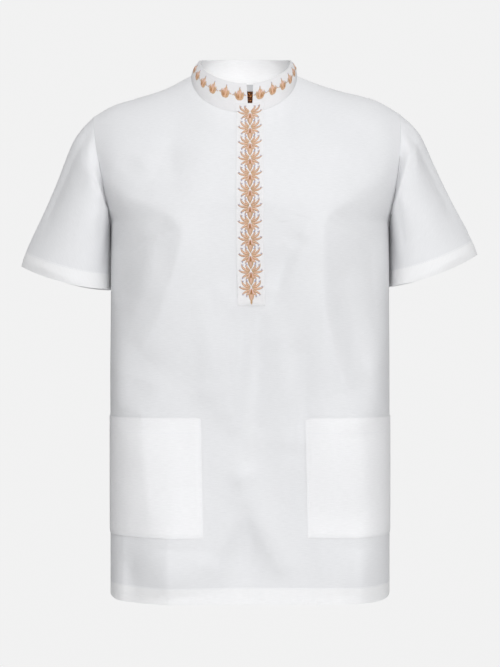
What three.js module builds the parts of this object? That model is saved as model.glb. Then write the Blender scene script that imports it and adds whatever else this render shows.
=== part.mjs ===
// A fatua: a short-sleeved tunic with a low stand collar, drawn as it hangs when worn.
// Millimetres, +Z up, the front faces -Y, x = 0 on the front slit, z = 0 at neck-base height.
// Every piece is one cloth wall: an outer surface worked out from sections, and an inner one set in by
// the wall. Sewn pieces stay apart by twice SEAM.
import * as THREE from 'three';

// ---- driving dimensions ----
const SEAM = 0.15;
const CLOTH = 1.4;
const HEM_WALL = 2.4;
const HEM_TURN = 25;
const COLLAR_WALL = 2.2;
// How folds and long edges are rounded on their crests and at their ends, and how they fall off.
const FOLD_SOFT = 9;
const FOLD_POWER = 1.3;
const EDGE_SOFT = 5;
const EDGE_REACH = 1.8;
const EDGE_POWER = 1.2;
const EDGE_STEPS = 6;
const END_SOFT = 3;
const END_SHARE = 0.12;
// A sleeve's folds end over this share of its length; its section leans towards the body by the skew.
const SLEEVE_FOLD_END = 0.12;
const SLEEVE_FOLD_SOFT = 0.2;
const SLEEVE_SKEW = 0.36;
const PATCH_GAP = 0.35;
const PATCH_WALL = 1.5;
const HEM_CORNER = 6;
const HEM_Z = -783;
const UNDERARM_Z = -225;
const HALF_WIDTH = 211;
const YOKE_Z = -200;
const SLIT_TOP_HALF = 3.6;
const SLIT_LOW_HALF = 0.5;
const SLIT_END_Z = -338;
const POCKET_TOP_Z = -512;
const POCKET_BOTTOM_Z = -686;
const PLACKET_HALF = 20;
const PLACKET_END_Z = -348;
const PLACKET_ON_COLLAR = [0.13, 0.26];
const UNDER_HALF = 17;
const LABEL_HALF = 25;
const LABEL_TOP_Z = -10;
const LABEL_DROP = 32;
const NECK = { centre: -9, half: 81, frontDrop: 66.5, backDrop: 4, z: 6 };
const COLLAR_TOP = { centre: -7, half: 70, front: 62, back: 55, frontZ: -14.5, sideZ: 30, backZ: 40 };

// Height by height: half width of the armhole edge on each side, how far out the section reaches, and
// how square it is.
const SECTIONS = [
  { z: -783, left: 211, right: 211, reach: 211, power: 3.6, front: 121, back: 108 },
  { z: -500, left: 211, right: 211, reach: 211, power: 3.6, front: 121, back: 108 },
  { z: -330, left: 211, right: 211, reach: 211, power: 3.2, front: 121, back: 108 },
  { z: -225, left: 211, right: 211, reach: 211, power: 2.7, front: 121, back: 108 },
  { z: -200, left: 214, right: 213.5, reach: 222, power: 2.4, front: 122, back: 108 },
  { z: -179, left: 218, right: 217, reach: 236, power: 2.15, front: 123, back: 108 },
  { z: -140, left: 225, right: 223, reach: 256, power: 2.0, front: 124, back: 108 },
  { z: -107, left: 232, right: 226.5, reach: 268, power: 2.0, front: 126, back: 108 },
  { z: -57, left: 239, right: 229, reach: 280, power: 2.0, front: 126, back: 108 },
];

// The shoulder ridge from sleeve to sleeve; between the neck points it is only a guide.
const SHOULDER = [
  { x: -243, z: -59 },
  { x: -207, z: -39 },
  { x: -178, z: -30 },
  { x: -131, z: -15 },
  { x: -90, z: 6 },
  { x: -45, z: 27 },
  { x: 0, z: 35 },
  { x: 40, z: 27 },
  { x: 72, z: 6 },
  { x: 129, z: -15 },
  { x: 190, z: -31 },
  { x: 233, z: -55 },
];

// Each sleeve: shoulder tip, the outer and inner ends of its cuff, and half the cuff's depth.
const SLEEVES = {
  left: { side: -1, tipX: -239, outerX: -345, outerZ: -286, innerX: -213.2, innerZ: -321, depth: 58, sag: 8 },
  right: { side: 1, tipX: 229, outerX: 344, outerZ: -268, innerX: 213.2, innerZ: -316, depth: 58, sag: 8 },
};

// How far the sleeve stands outside the straight line from shoulder tip to cuff.
const SLEEVE_CAP = [
  { t: 0, out: 0 },
  { t: 0.1, out: 9 },
  { t: 0.18, out: 12 },
  { t: 0.32, out: 10 },
  { t: 0.5, out: 6.5 },
  { t: 0.75, out: 3 },
  { t: 1, out: 0 },
];

// Long soft edges where the cloth turns away towards the sides: points [x, z], the fall to the left and to
// the right of someone who walks along them, and the height.
const FRONT_EDGES = [
  {
    points: [
      [-212, -170], [-158, -196], [-112, -218], [-97, -242], [-104, -282],
      [-117, -322], [-134, -368], [-162, -412], [-196, -440],
    ],
    left: 90,
    right: 40,
    high: 24,
  },
  {
    points: [
      [212, -140], [162, -178], [116, -212], [105, -236], [104, -290],
      [107, -345], [119, -405], [138, -470], [152, -520],
    ],
    left: 40,
    right: 90,
    high: 24,
  },
  { points: [[-158, -505], [-150, -600], [-142, -690]], left: 46, right: 30, high: 8 },
  { points: [[160, -520], [166, -600], [178, -700]], left: 28, right: 46, high: 8 },
  { points: [[-117, -690], [-119, -740], [-116, -783]], left: 40, right: 30, high: 9 },
];
const BACK_EDGES = [
  {
    points: [[-212, -166], [-150, -205], [-96, -240], [-86, -268], [-98, -330], [-126, -392], [-176, -446]],
    left: 84,
    right: 42,
    high: 20,
  },
  {
    points: [[212, -158], [150, -205], [98, -246], [90, -275], [96, -340], [112, -410], [140, -500]],
    left: 42,
    right: 84,
    high: 20,
  },
];

// Folds: a line from (x, z) to (tx, tz) across a panel, bent sideways by bow in its middle, with its fall
// to the left and to the right of someone who walks along it, and its height.
const FRONT_FOLDS = [
  { x: -196, z: -262, tx: -186, tz: -352, bow: -6, left: 12, right: 16, high: -5.5 },
  { x: -160, z: -446, tx: -182, tz: -505, bow: 4, left: 20, right: 20, high: -5 },
  { x: -98, z: -84, tx: -100, tz: -168, bow: -6, left: 16, right: 26, high: -4.5 },
  { x: 134, z: -310, tx: 170, tz: -462, bow: -6, left: 18, right: 22, high: -7.5 },
  { x: 192, z: -400, tx: 182, tz: -500, bow: 0, left: 12, right: 16, high: 6 },
  { x: 74, z: -246, tx: 36, tz: -330, bow: -4, left: 14, right: 9, high: 5.5 },
  { x: 160, z: -70, tx: 190, tz: -118, bow: 4, left: 18, right: 18, high: -4.5 },
  { x: -8, z: -600, tx: -54, tz: -724, bow: 5, left: 12, right: 15, high: 6.5 },
  { x: -8, z: -600, tx: 45, tz: -724, bow: -5, left: 15, right: 12, high: 6.5 },
  { x: -190, z: -696, tx: -194, tz: -783, bow: 0, left: 10, right: 12, high: 7 },
  { x: -166, z: -700, tx: -160, tz: -783, bow: 0, left: 14, right: 14, high: -6.5 },
  { x: 184, z: -690, tx: 188, tz: -783, bow: 0, left: 12, right: 12, high: -6.5 },
];
const BACK_FOLDS = [
  { x: -120, z: -330, tx: -146, tz: -560, bow: 8, left: 18, right: 24, high: -7.5 },
  { x: -88, z: -300, tx: -116, tz: -600, bow: 6, left: 16, right: 22, high: 6 },
  { x: 125, z: -340, tx: 146, tz: -620, bow: 6, left: 24, right: 18, high: -7.5 },
  { x: -40, z: -420, tx: -58, tz: -783, bow: 8, left: 18, right: 26, high: 8.5 },
  { x: -16, z: -460, tx: -24, tz: -783, bow: -6, left: 14, right: 16, high: -6.5 },
  { x: 52, z: -400, tx: 66, tz: -783, bow: 8, left: 20, right: 24, high: 8 },
  { x: -150, z: -560, tx: -160, tz: -783, bow: 6, left: 16, right: 20, high: -7.5 },
  { x: 158, z: -600, tx: 162, tz: -783, bow: 4, left: 15, right: 18, high: 7 },
];
const FRONT = { edges: FRONT_EDGES, folds: FRONT_FOLDS };
const BACK = { edges: BACK_EDGES, folds: BACK_FOLDS };
const UNFOLDED = { edges: [], folds: [] };

// On a sleeve a fold runs from (turn, t) to (toTurn, toT): turn 0 on top, 90 in front, 180 underneath.
// It falls off over two angles, towards the smaller and the larger turn.
const SLEEVE_FOLDS = [
  { turn: 71, t: 0.02, toTurn: 93, toT: 0.97, before: 31, after: 54, high: 5.5 },
  { turn: 41, t: 0.08, toTurn: 35, toT: 0.6, before: 17, after: 18, high: -3.5 },
  { turn: 289, t: 0.02, toTurn: 267, toT: 0.97, before: 54, after: 31, high: 5.5 },
  { turn: 317, t: 0.1, toTurn: 322, toT: 0.7, before: 16, after: 18, high: -3.5 },
];

// ---- small helpers ----
const vec = (x, y, z) => new THREE.Vector3(x, y, z);
const lerp = (a, b, t) => a + (b - a) * t;
const clamp = (v, lo, hi) => Math.min(hi, Math.max(lo, v));
const ease = (a, b, v) => {
  const t = clamp((v - a) / (b - a), 0, 1);
  return t * t * (3 - 2 * t);
};

// A smooth curve through one column of a table, without overshoot between its rows.
function smooth(rows, key, column) {
  const xs = rows.map((row) => row[key]);
  const ys = rows.map((row) => row[column]);
  const last = xs.length - 1;
  const rise = xs.slice(1).map((x, i) => (ys[i + 1] - ys[i]) / (x - xs[i]));
  const tangent = ys.map((_, i) => {
    if (i === 0) return rise[0];
    if (i === last) return rise[last - 1];
    const [before, after] = [rise[i - 1], rise[i]];
    return before * after <= 0 ? 0 : (2 * before * after) / (before + after);
  });
  return (x) => {
    if (x <= xs[0]) return ys[0] + tangent[0] * (x - xs[0]);
    if (x >= xs[last]) return ys[last] + tangent[last] * (x - xs[last]);
    let i = 0;
    while (x > xs[i + 1]) i += 1;
    const step = xs[i + 1] - xs[i];
    const t = (x - xs[i]) / step;
    const [t2, t3] = [t * t, t * t * t];
    return (
      (2 * t3 - 3 * t2 + 1) * ys[i] +
      (t3 - 2 * t2 + t) * step * tangent[i] +
      (3 * t2 - 2 * t3) * ys[i + 1] +
      (t3 - t2) * step * tangent[i + 1]
    );
  };
}

const section = {
  left: smooth(SECTIONS, 'z', 'left'),
  right: smooth(SECTIONS, 'z', 'right'),
  reach: smooth(SECTIONS, 'z', 'reach'),
  power: smooth(SECTIONS, 'z', 'power'),
  front: smooth(SECTIONS, 'z', 'front'),
  back: smooth(SECTIONS, 'z', 'back'),
};
const shoulderZ = smooth(SHOULDER, 'x', 'z');
const capOut = smooth(SLEEVE_CAP, 't', 'out');

// ---- the body's surface ----
const NECK_TURN = Math.asin(-NECK.centre / NECK.half);
const NECK_SHARE = 0.42;

function neckX(turn) {
  return NECK.centre + NECK.half * Math.sin(turn);
}

function neckZ(face, x) {
  const across = clamp((x - NECK.centre) / NECK.half, -1, 1);
  const drop = face < 0 ? NECK.frontDrop : NECK.backDrop;
  return NECK.z - drop * Math.sqrt(1 - across * across);
}

// Distance of the cloth in front of (face -1) or behind (face 1) the side seams' plane.
function depthAt(face, x, z) {
  const full = face < 0 ? section.front(z) : section.back(z);
  const reach = section.reach(z);
  const power = section.power(z);
  const across = Math.max(0, 1 - Math.pow(Math.min(1, Math.abs(x) / reach), power));
  const round = Math.pow(across, 1 / power);
  const rise = clamp((z - YOKE_Z) / (shoulderZ(x) - YOKE_Z), 0, 1);
  const outward = ease(80, 170, Math.abs(x));
  const bow = face < 0 ? 1.6 : 2;
  const lean = face < 0 ? lerp(1.25, 1.5, outward) : lerp(2.4, 2, outward);
  return full * round * Math.pow(1 - Math.pow(rise, bow), 1 / lean);
}

// Height along a line, from `low` at its ends to 1 in its middle.
function fadeAlong(share, low) {
  return low + (1 - low) * Math.sin(Math.PI * clamp(share, END_SHARE, 1 - END_SHARE));
}

// The fall on each side of a line, blended round its ends.
function fallBetween(line, aside, away) {
  return lerp(line.right, line.left, 0.5 + (0.5 * aside) / Math.hypot(aside, away, END_SOFT));
}

function foldHeight(folds, x, z) {
  let sum = 0;
  for (const fold of folds) {
    const [dx, dz] = [fold.tx - fold.x, fold.tz - fold.z];
    const length = Math.hypot(dx, dz);
    const along = ((x - fold.x) * dx + (z - fold.z) * dz) / (length * length);
    const near = clamp(along, 0, 1);
    const bend = 4 * fold.bow * near * (1 - near);
    const aside = (-(x - fold.x) * dz + (z - fold.z) * dx) / length - bend;
    const beyond = (along - near) * length;
    const far = Math.hypot(aside, beyond, FOLD_SOFT) - FOLD_SOFT;
    const fall = fallBetween(fold, aside, beyond);
    sum += fold.high * fadeAlong(near, 0.35) * Math.exp(-Math.pow(far / fall, FOLD_POWER));
  }
  return sum;
}

// The curved line of an edge, as short straight steps.
function edgeLine(points) {
  const rows = points.map(([x, z], i) => ({ i, x, z }));
  const [alongX, alongZ] = [smooth(rows, 'i', 'x'), smooth(rows, 'i', 'z')];
  const steps = EDGE_STEPS * points.length - 1;
  return Array.from({ length: steps + 1 }, (_, k) => {
    const i = (k * (points.length - 1)) / steps;
    return [alongX(i), alongZ(i)];
  });
}
const LINES = new Map([...FRONT_EDGES, ...BACK_EDGES].map((edge) => [edge, edgeLine(edge.points)]));

// Height of the long edges: an even slope on each side, out to EDGE_REACH times its fall.
function edgeHeight(edges, x, z) {
  let sum = 0;
  for (const edge of edges) {
    const line = LINES.get(edge);
    let best = { away: Infinity, aside: 0, share: 0 };
    for (let i = 0; i < line.length - 1; i += 1) {
      const [x0, z0] = line[i];
      const [dx, dz] = [line[i + 1][0] - x0, line[i + 1][1] - z0];
      const along = clamp(((x - x0) * dx + (z - z0) * dz) / (dx * dx + dz * dz), 0, 1);
      const [offX, offZ] = [x - x0 - along * dx, z - z0 - along * dz];
      const away = Math.hypot(offX, offZ);
      if (away < best.away) {
        const aside = (-offX * dz + offZ * dx) / Math.hypot(dx, dz);
        best = { away, aside, share: (i + along) / (line.length - 1) };
      }
    }
    const past = Math.sqrt(Math.max(0, best.away ** 2 - best.aside ** 2));
    const far = (Math.hypot(best.away, EDGE_SOFT) - EDGE_SOFT) / fallBetween(edge, best.aside, past);
    sum += edge.high * fadeAlong(best.share, 0.3) * Math.pow(Math.max(0, 1 - far / EDGE_REACH), EDGE_POWER);
  }
  return sum;
}

// A column is a share s of the panel's width, -1 at the left side seam to 1 at the right.
function topX(s) {
  const share = Math.abs(s) / NECK_SHARE;
  const side = s < 0 ? -1 : 1;
  if (share <= 1) return neckX(NECK_TURN + side * share * (Math.PI / 2 - side * NECK_TURN));
  const tip = s < 0 ? SLEEVES.left.tipX : SLEEVES.right.tipX;
  return lerp(neckX((side * Math.PI) / 2), tip, (Math.abs(s) - NECK_SHARE) / (1 - NECK_SHARE));
}

function topZ(face, s) {
  const x = topX(s);
  return Math.abs(s) <= NECK_SHARE ? neckZ(face, x) : shoulderZ(x);
}

// A row is { z } below the underarm, or { rise } from 0 at the underarm to 1 at shoulder and neck.
function panelPoint(face, s, row, form) {
  const lowX = HALF_WIDTH * Math.sin((Math.PI / 2) * s);
  let x = lowX;
  // the hem's corners are rounded up a little at the side seams
  let z = row.z + HEM_CORNER * Math.pow(Math.abs(lowX) / HALF_WIDTH, 24) * ease(HEM_Z + 70, HEM_Z, row.z);
  if (row.rise !== undefined) {
    z = lerp(UNDERARM_Z, topZ(face, s), row.rise);
    x = lerp(lowX, topX(s), row.rise);
    const edge = s < 0 ? -section.left(z) : section.right(z);
    const tip = s < 0 ? SLEEVES.left.tipX : SLEEVES.right.tipX;
    const straight = lerp(Math.sign(s) * HALF_WIDTH, tip, row.rise);
    x += Math.pow(Math.abs(s), 4) * (edge - straight) * (1 - Math.pow(row.rise, 6));
  }
  const depth = depthAt(face, x, z);
  const calm = 1 - Math.pow(Math.abs(s), 8);
  const settle = row.rise === undefined ? 1 : 1 - Math.pow(row.rise, 3);
  const fold = (edgeHeight(form.edges, x, z) + foldHeight(form.folds, x, z)) * calm * settle;
  return vec(x, face * (depth + SEAM + fold), z);
}

// ---- walls ----
function meshOf(name, positions, triangles, look) {
  const geometry = new THREE.BufferGeometry();
  geometry.setAttribute('position', new THREE.Float32BufferAttribute(positions.flatMap((p) => [p.x, p.y, p.z]), 3));
  geometry.setIndex(triangles.flat());
  geometry.computeVertexNormals();
  const mesh = new THREE.Mesh(geometry, look);
  mesh.name = name;
  return mesh;
}

// Closes an outer and an inner grid into one wall. keep(i, j) says which cells exist; wrap joins the
// last column to the first. The border is closed where a cell has no neighbour.
function wall(name, outer, inner, look, { wrap = false, flip = false, slit = null } = {}) {
  const rows = outer.length;
  const cols = outer[0].length;
  const positions = [];
  const index = [];
  for (let i = 0; i < rows; i += 1) {
    index.push([]);
    for (let j = 0; j < cols; j += 1) {
      const shared = slit && j === slit.column + 1 && i <= slit.row;
      if (shared) {
        index[i].push(index[i][j - 1]);
      } else {
        index[i].push(positions.length / 2);
        positions.push(outer[i][j], inner[i][j]);
      }
    }
  }
  const triangles = [];
  const push = (a, b, c) => {
    if (a === b || b === c || a === c) return;
    triangles.push(flip ? [a, c, b] : [a, b, c]);
  };
  const edges = new Map();
  const cell = (a, b, c, d) => {
    push(2 * a, 2 * b, 2 * c);
    push(2 * a, 2 * c, 2 * d);
    push(2 * a + 1, 2 * c + 1, 2 * b + 1);
    push(2 * a + 1, 2 * d + 1, 2 * c + 1);
    for (const [p, q] of [[a, b], [b, c], [c, d], [d, a]]) {
      if (p === q) continue;
      if (edges.has(`${q},${p}`)) edges.delete(`${q},${p}`);
      else edges.set(`${p},${q}`, [p, q]);
    }
  };
  const span = wrap ? cols : cols - 1;
  for (let i = 0; i < rows - 1; i += 1) {
    for (let j = 0; j < span; j += 1) {
      if (slit && j === slit.column) continue;
      const k = (j + 1) % cols;
      cell(index[i][j], index[i][k], index[i + 1][k], index[i + 1][j]);
    }
  }
  for (const [p, q] of edges.values()) {
    push(2 * q, 2 * p, 2 * p + 1);
    push(2 * q, 2 * p + 1, 2 * q + 1);
  }
  return meshOf(name, positions, triangles, look);
}

// Unit normals of a grid, turned to the side that `outward` points to.
function gridNormals(grid, outward, wrap = false) {
  const rows = grid.length;
  const cols = grid[0].length;
  return grid.map((line, i) =>
    line.map((point, j) => {
      const left = wrap ? (j + cols - 1) % cols : Math.max(0, j - 1);
      const right = wrap ? (j + 1) % cols : Math.min(cols - 1, j + 1);
      const across = grid[i][right].clone().sub(grid[i][left]);
      const along = grid[Math.min(rows - 1, i + 1)][j].clone().sub(grid[Math.max(0, i - 1)][j]);
      const normal = across.cross(along).normalize();
      return normal.dot(outward(i, j, point)) < 0 ? normal.negate() : normal;
    }),
  );
}

// The inward step that closes two walls of one thickness on a shared seam plane.
function mitre(own, other, thickness) {
  const cosine = own.dot(other);
  const shared = own.clone().add(other).multiplyScalar(-thickness / Math.max(0.15, 1 + cosine));
  const alone = own.clone().multiplyScalar(-thickness);
  return alone.lerp(shared, ease(-0.6, -0.1, cosine));
}

// ---- grid lines shared by the pieces ----
function shareOf(x) {
  return Math.asin(x / HALF_WIDTH) / (Math.PI / 2);
}

const POCKET_LEFT_X = -70;
const POCKET_RIGHT_X = 82;
const SIDE_SHARES = [0.34, 0.385, NECK_SHARE, 0.46, 0.52, 0.59, 0.66, 0.74, 0.81, 0.875, 0.93, 0.97, 1];
const LEFT_SHARES = [shareOf(PLACKET_HALF), 0.14, shareOf(-POCKET_LEFT_X), 0.28, ...SIDE_SHARES];
const RIGHT_SHARES = [shareOf(PLACKET_HALF), 0.13, 0.19, shareOf(POCKET_RIGHT_X), ...SIDE_SHARES];
const SHARES = [...LEFT_SHARES.map((s) => -s).reverse(), 0, ...RIGHT_SHARES];

const LOW_ROWS = [
  HEM_Z, HEM_Z + HEM_TURN - 1, HEM_Z + HEM_TURN, -722, POCKET_BOTTOM_Z, -650, -615, -580, -545,
  POCKET_TOP_Z, -475, -437, -400, -372, PLACKET_END_Z, SLIT_END_Z, -312, -290, -268, -246, UNDERARM_Z,
].map((z) => ({ z }));
const RISE_STEPS = 12;
const HIGH_ROWS = Array.from({ length: RISE_STEPS }, (_, i) => ({
  rise: (1 - Math.cos((Math.PI * (i + 1)) / RISE_STEPS)) / 2,
}));
const ROWS = [...LOW_ROWS, ...HIGH_ROWS];
const UNDERARM_ROW = LOW_ROWS.length - 1;
const SLIT_ROW = LOW_ROWS.findIndex((row) => row.z === SLIT_END_Z);

// ---- sleeves ----
const RING = 2 * RISE_STEPS;
const MAIN_STEPS = [0, 0.07, 0.15, 0.25, 0.37, 0.5, 0.64, 0.8, 1];

// The armhole loop: down the front edge from the shoulder tip, round the underarm, up the back.
function armhole(side) {
  const s = SLEEVES[side].side;
  const loop = [];
  for (let k = 0; k < RING; k += 1) {
    const front = k <= RISE_STEPS;
    const up = front ? RISE_STEPS - k : k - RISE_STEPS;
    const row = ROWS[UNDERARM_ROW + up];
    const point = panelPoint(front ? -1 : 1, s, row, UNFOLDED);
    if (k === 0 || k === RISE_STEPS) point.y = 0;
    loop.push(point);
  }
  return loop;
}

function sleeveFold(turn, t) {
  let sum = 0;
  for (const fold of SLEEVE_FOLDS) {
    const near = clamp((t - fold.t) / (fold.toT - fold.t), 0, 1);
    const aside = turn - lerp(fold.turn, fold.toTurn, near);
    const beyond = (t - lerp(fold.t, fold.toT, near)) / SLEEVE_FOLD_END;
    const across = aside / (aside < 0 ? fold.before : fold.after);
    const far = Math.hypot(across, beyond, SLEEVE_FOLD_SOFT) - SLEEVE_FOLD_SOFT;
    sum += fold.high * Math.exp(-Math.pow(far, FOLD_POWER));
  }
  return sum;
}

function sleeveRings(side, loop) {
  const cut = SLEEVES[side];
  const centre = vec((cut.outerX + cut.innerX) / 2, 0, (cut.outerZ + cut.innerZ) / 2);
  const half = vec((cut.outerX - cut.innerX) / 2, 0, (cut.outerZ - cut.innerZ) / 2);
  const cuff = loop.map((_, k) => {
    const turn = (2 * Math.PI * k) / RING;
    const front = Math.sin(turn);
    const point = centre.clone().addScaledVector(half, Math.cos(turn));
    // the front and back stand furthest out a little towards the body
    point.y = -cut.depth * Math.sin(turn - SLEEVE_SKEW * front * Math.sign(Math.PI - turn));
    point.z -= cut.sag * front * front;
    return point;
  });
  const outwards = half.clone().normalize();
  const place = (k, t) => {
    const turn = (2 * Math.PI * k) / RING;
    const under = Math.pow((1 - Math.cos(turn)) / 2, 3);
    const upper = Math.pow((1 + Math.cos(turn)) / 2, 1.2);
    const point = loop[k].clone().lerp(cuff[k], t);
    const away = outwards.clone().multiplyScalar(Math.cos(turn));
    away.y = -Math.sin(turn);
    const lift = capOut(t) * upper + sleeveFold((turn * 180) / Math.PI, t) * (1 - under) * ease(0, 0.15, t);
    point.addScaledVector(away, lift);
    point.x += cut.side * under * (0.9 + 1.2 * (1 - Math.exp(-t / 0.1)) * (1 - t));
    return point;
  };
  const hemShare = loop.map((point, k) => 1 - HEM_TURN / point.distanceTo(cuff[k]));
  const rings = MAIN_STEPS.map((q) => loop.map((_, k) => place(k, q * hemShare[k])));
  rings.push(loop.map((_, k) => place(k, hemShare[k] + 0.012)));
  rings.push(loop.map((_, k) => place(k, 1)));
  return rings;
}

// ---- collar ----
const COLLAR_STEPS = [0, 0.3, 0.65, 1];
// The foot's share of the seam's half gap, over 1 because its wall is thicker than the panels'.
const COLLAR_LIFT = 2.2;

// Stations round the neck, from the left front end over the back to the right front end.
function neckStations() {
  const inNeck = SHARES.filter((s) => Math.abs(s) <= NECK_SHARE + 1e-9);
  const left = inNeck.filter((s) => s < 0).reverse();
  const right = inNeck.filter((s) => s > 0).reverse();
  const back = inNeck.slice(1, -1);
  const stations = [{ face: -1, s: 0, end: -1 }];
  stations.push(...left.map((s) => ({ face: -1, s })));
  stations.push(...back.map((s) => ({ face: 1, s })));
  stations.push(...right.map((s) => ({ face: -1, s })));
  stations.push({ face: -1, s: 0, end: 1 });
  return stations;
}

function collarTop(station) {
  if (station.end) {
    const half = station.end < 0 ? 5.5 : 4.5;
    return vec(station.end * half, -COLLAR_TOP.front, COLLAR_TOP.frontZ);
  }
  const share = (topX(station.s) - NECK.centre) / NECK.half;
  const front = Math.sqrt(Math.max(0, 1 - share * share));
  const x = COLLAR_TOP.centre + COLLAR_TOP.half * share;
  if (station.face < 0) {
    const z = lerp(COLLAR_TOP.frontZ, COLLAR_TOP.sideZ, Math.pow(1 - front, 0.9));
    return vec(x, -COLLAR_TOP.front * front, z);
  }
  return vec(x, COLLAR_TOP.back * front, lerp(COLLAR_TOP.sideZ, COLLAR_TOP.backZ, front));
}

function collarRows(bases, stations) {
  return COLLAR_STEPS.map((t) =>
    stations.map((station, j) => {
      const top = collarTop(station);
      const point = bases[j].clone().lerp(top, t);
      const bulge = 2.2 * Math.sin(Math.PI * t);
      const away = vec(point.x - NECK.centre, point.y, 0).normalize();
      return point.addScaledVector(away, bulge);
    }),
  );
}

// ---- looks ----
function cloth(color, roughness) {
  return new THREE.MeshStandardMaterial({ color, roughness, metalness: 0, side: THREE.DoubleSide });
}
const LOOKS = {
  body: cloth('#e6e9ec', 0.9),
  double: cloth('#eff1f3', 0.88),
  embroidered: cloth('#ecdccb', 0.85),
  label: cloth('#5a3d30', 0.8),
};

// ---- assembly ----
const slitHalf = (z) => lerp(SLIT_LOW_HALF, SLIT_TOP_HALF, ease(-110, -58, z));

function panelGrid(face, form) {
  return ROWS.map((row, i) =>
    SHARES.flatMap((s) => {
      const point = panelPoint(face, s, row, form);
      if (face > 0 || s !== 0) return [point];
      const half = i > SLIT_ROW ? slitHalf(point.z) : 0;
      return [-half, half].map((x) => vec(x, point.y, point.z));
    }),
  );
}

// The seam step and the inward step of two pieces along one seam line.
function joint(line, ownNormals, otherNormals, ownLeave, otherEnter, bias) {
  return line.map((_, k) => {
    const across = ownLeave[k].clone().add(otherEnter[k]);
    if (bias) across.addScaledVector(bias, 0.2);
    across.normalize();
    return {
      shift: across.multiplyScalar(SEAM),
      own: mitre(ownNormals[k], otherNormals[k], 1),
      other: mitre(otherNormals[k], ownNormals[k], 1),
    };
  });
}

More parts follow.
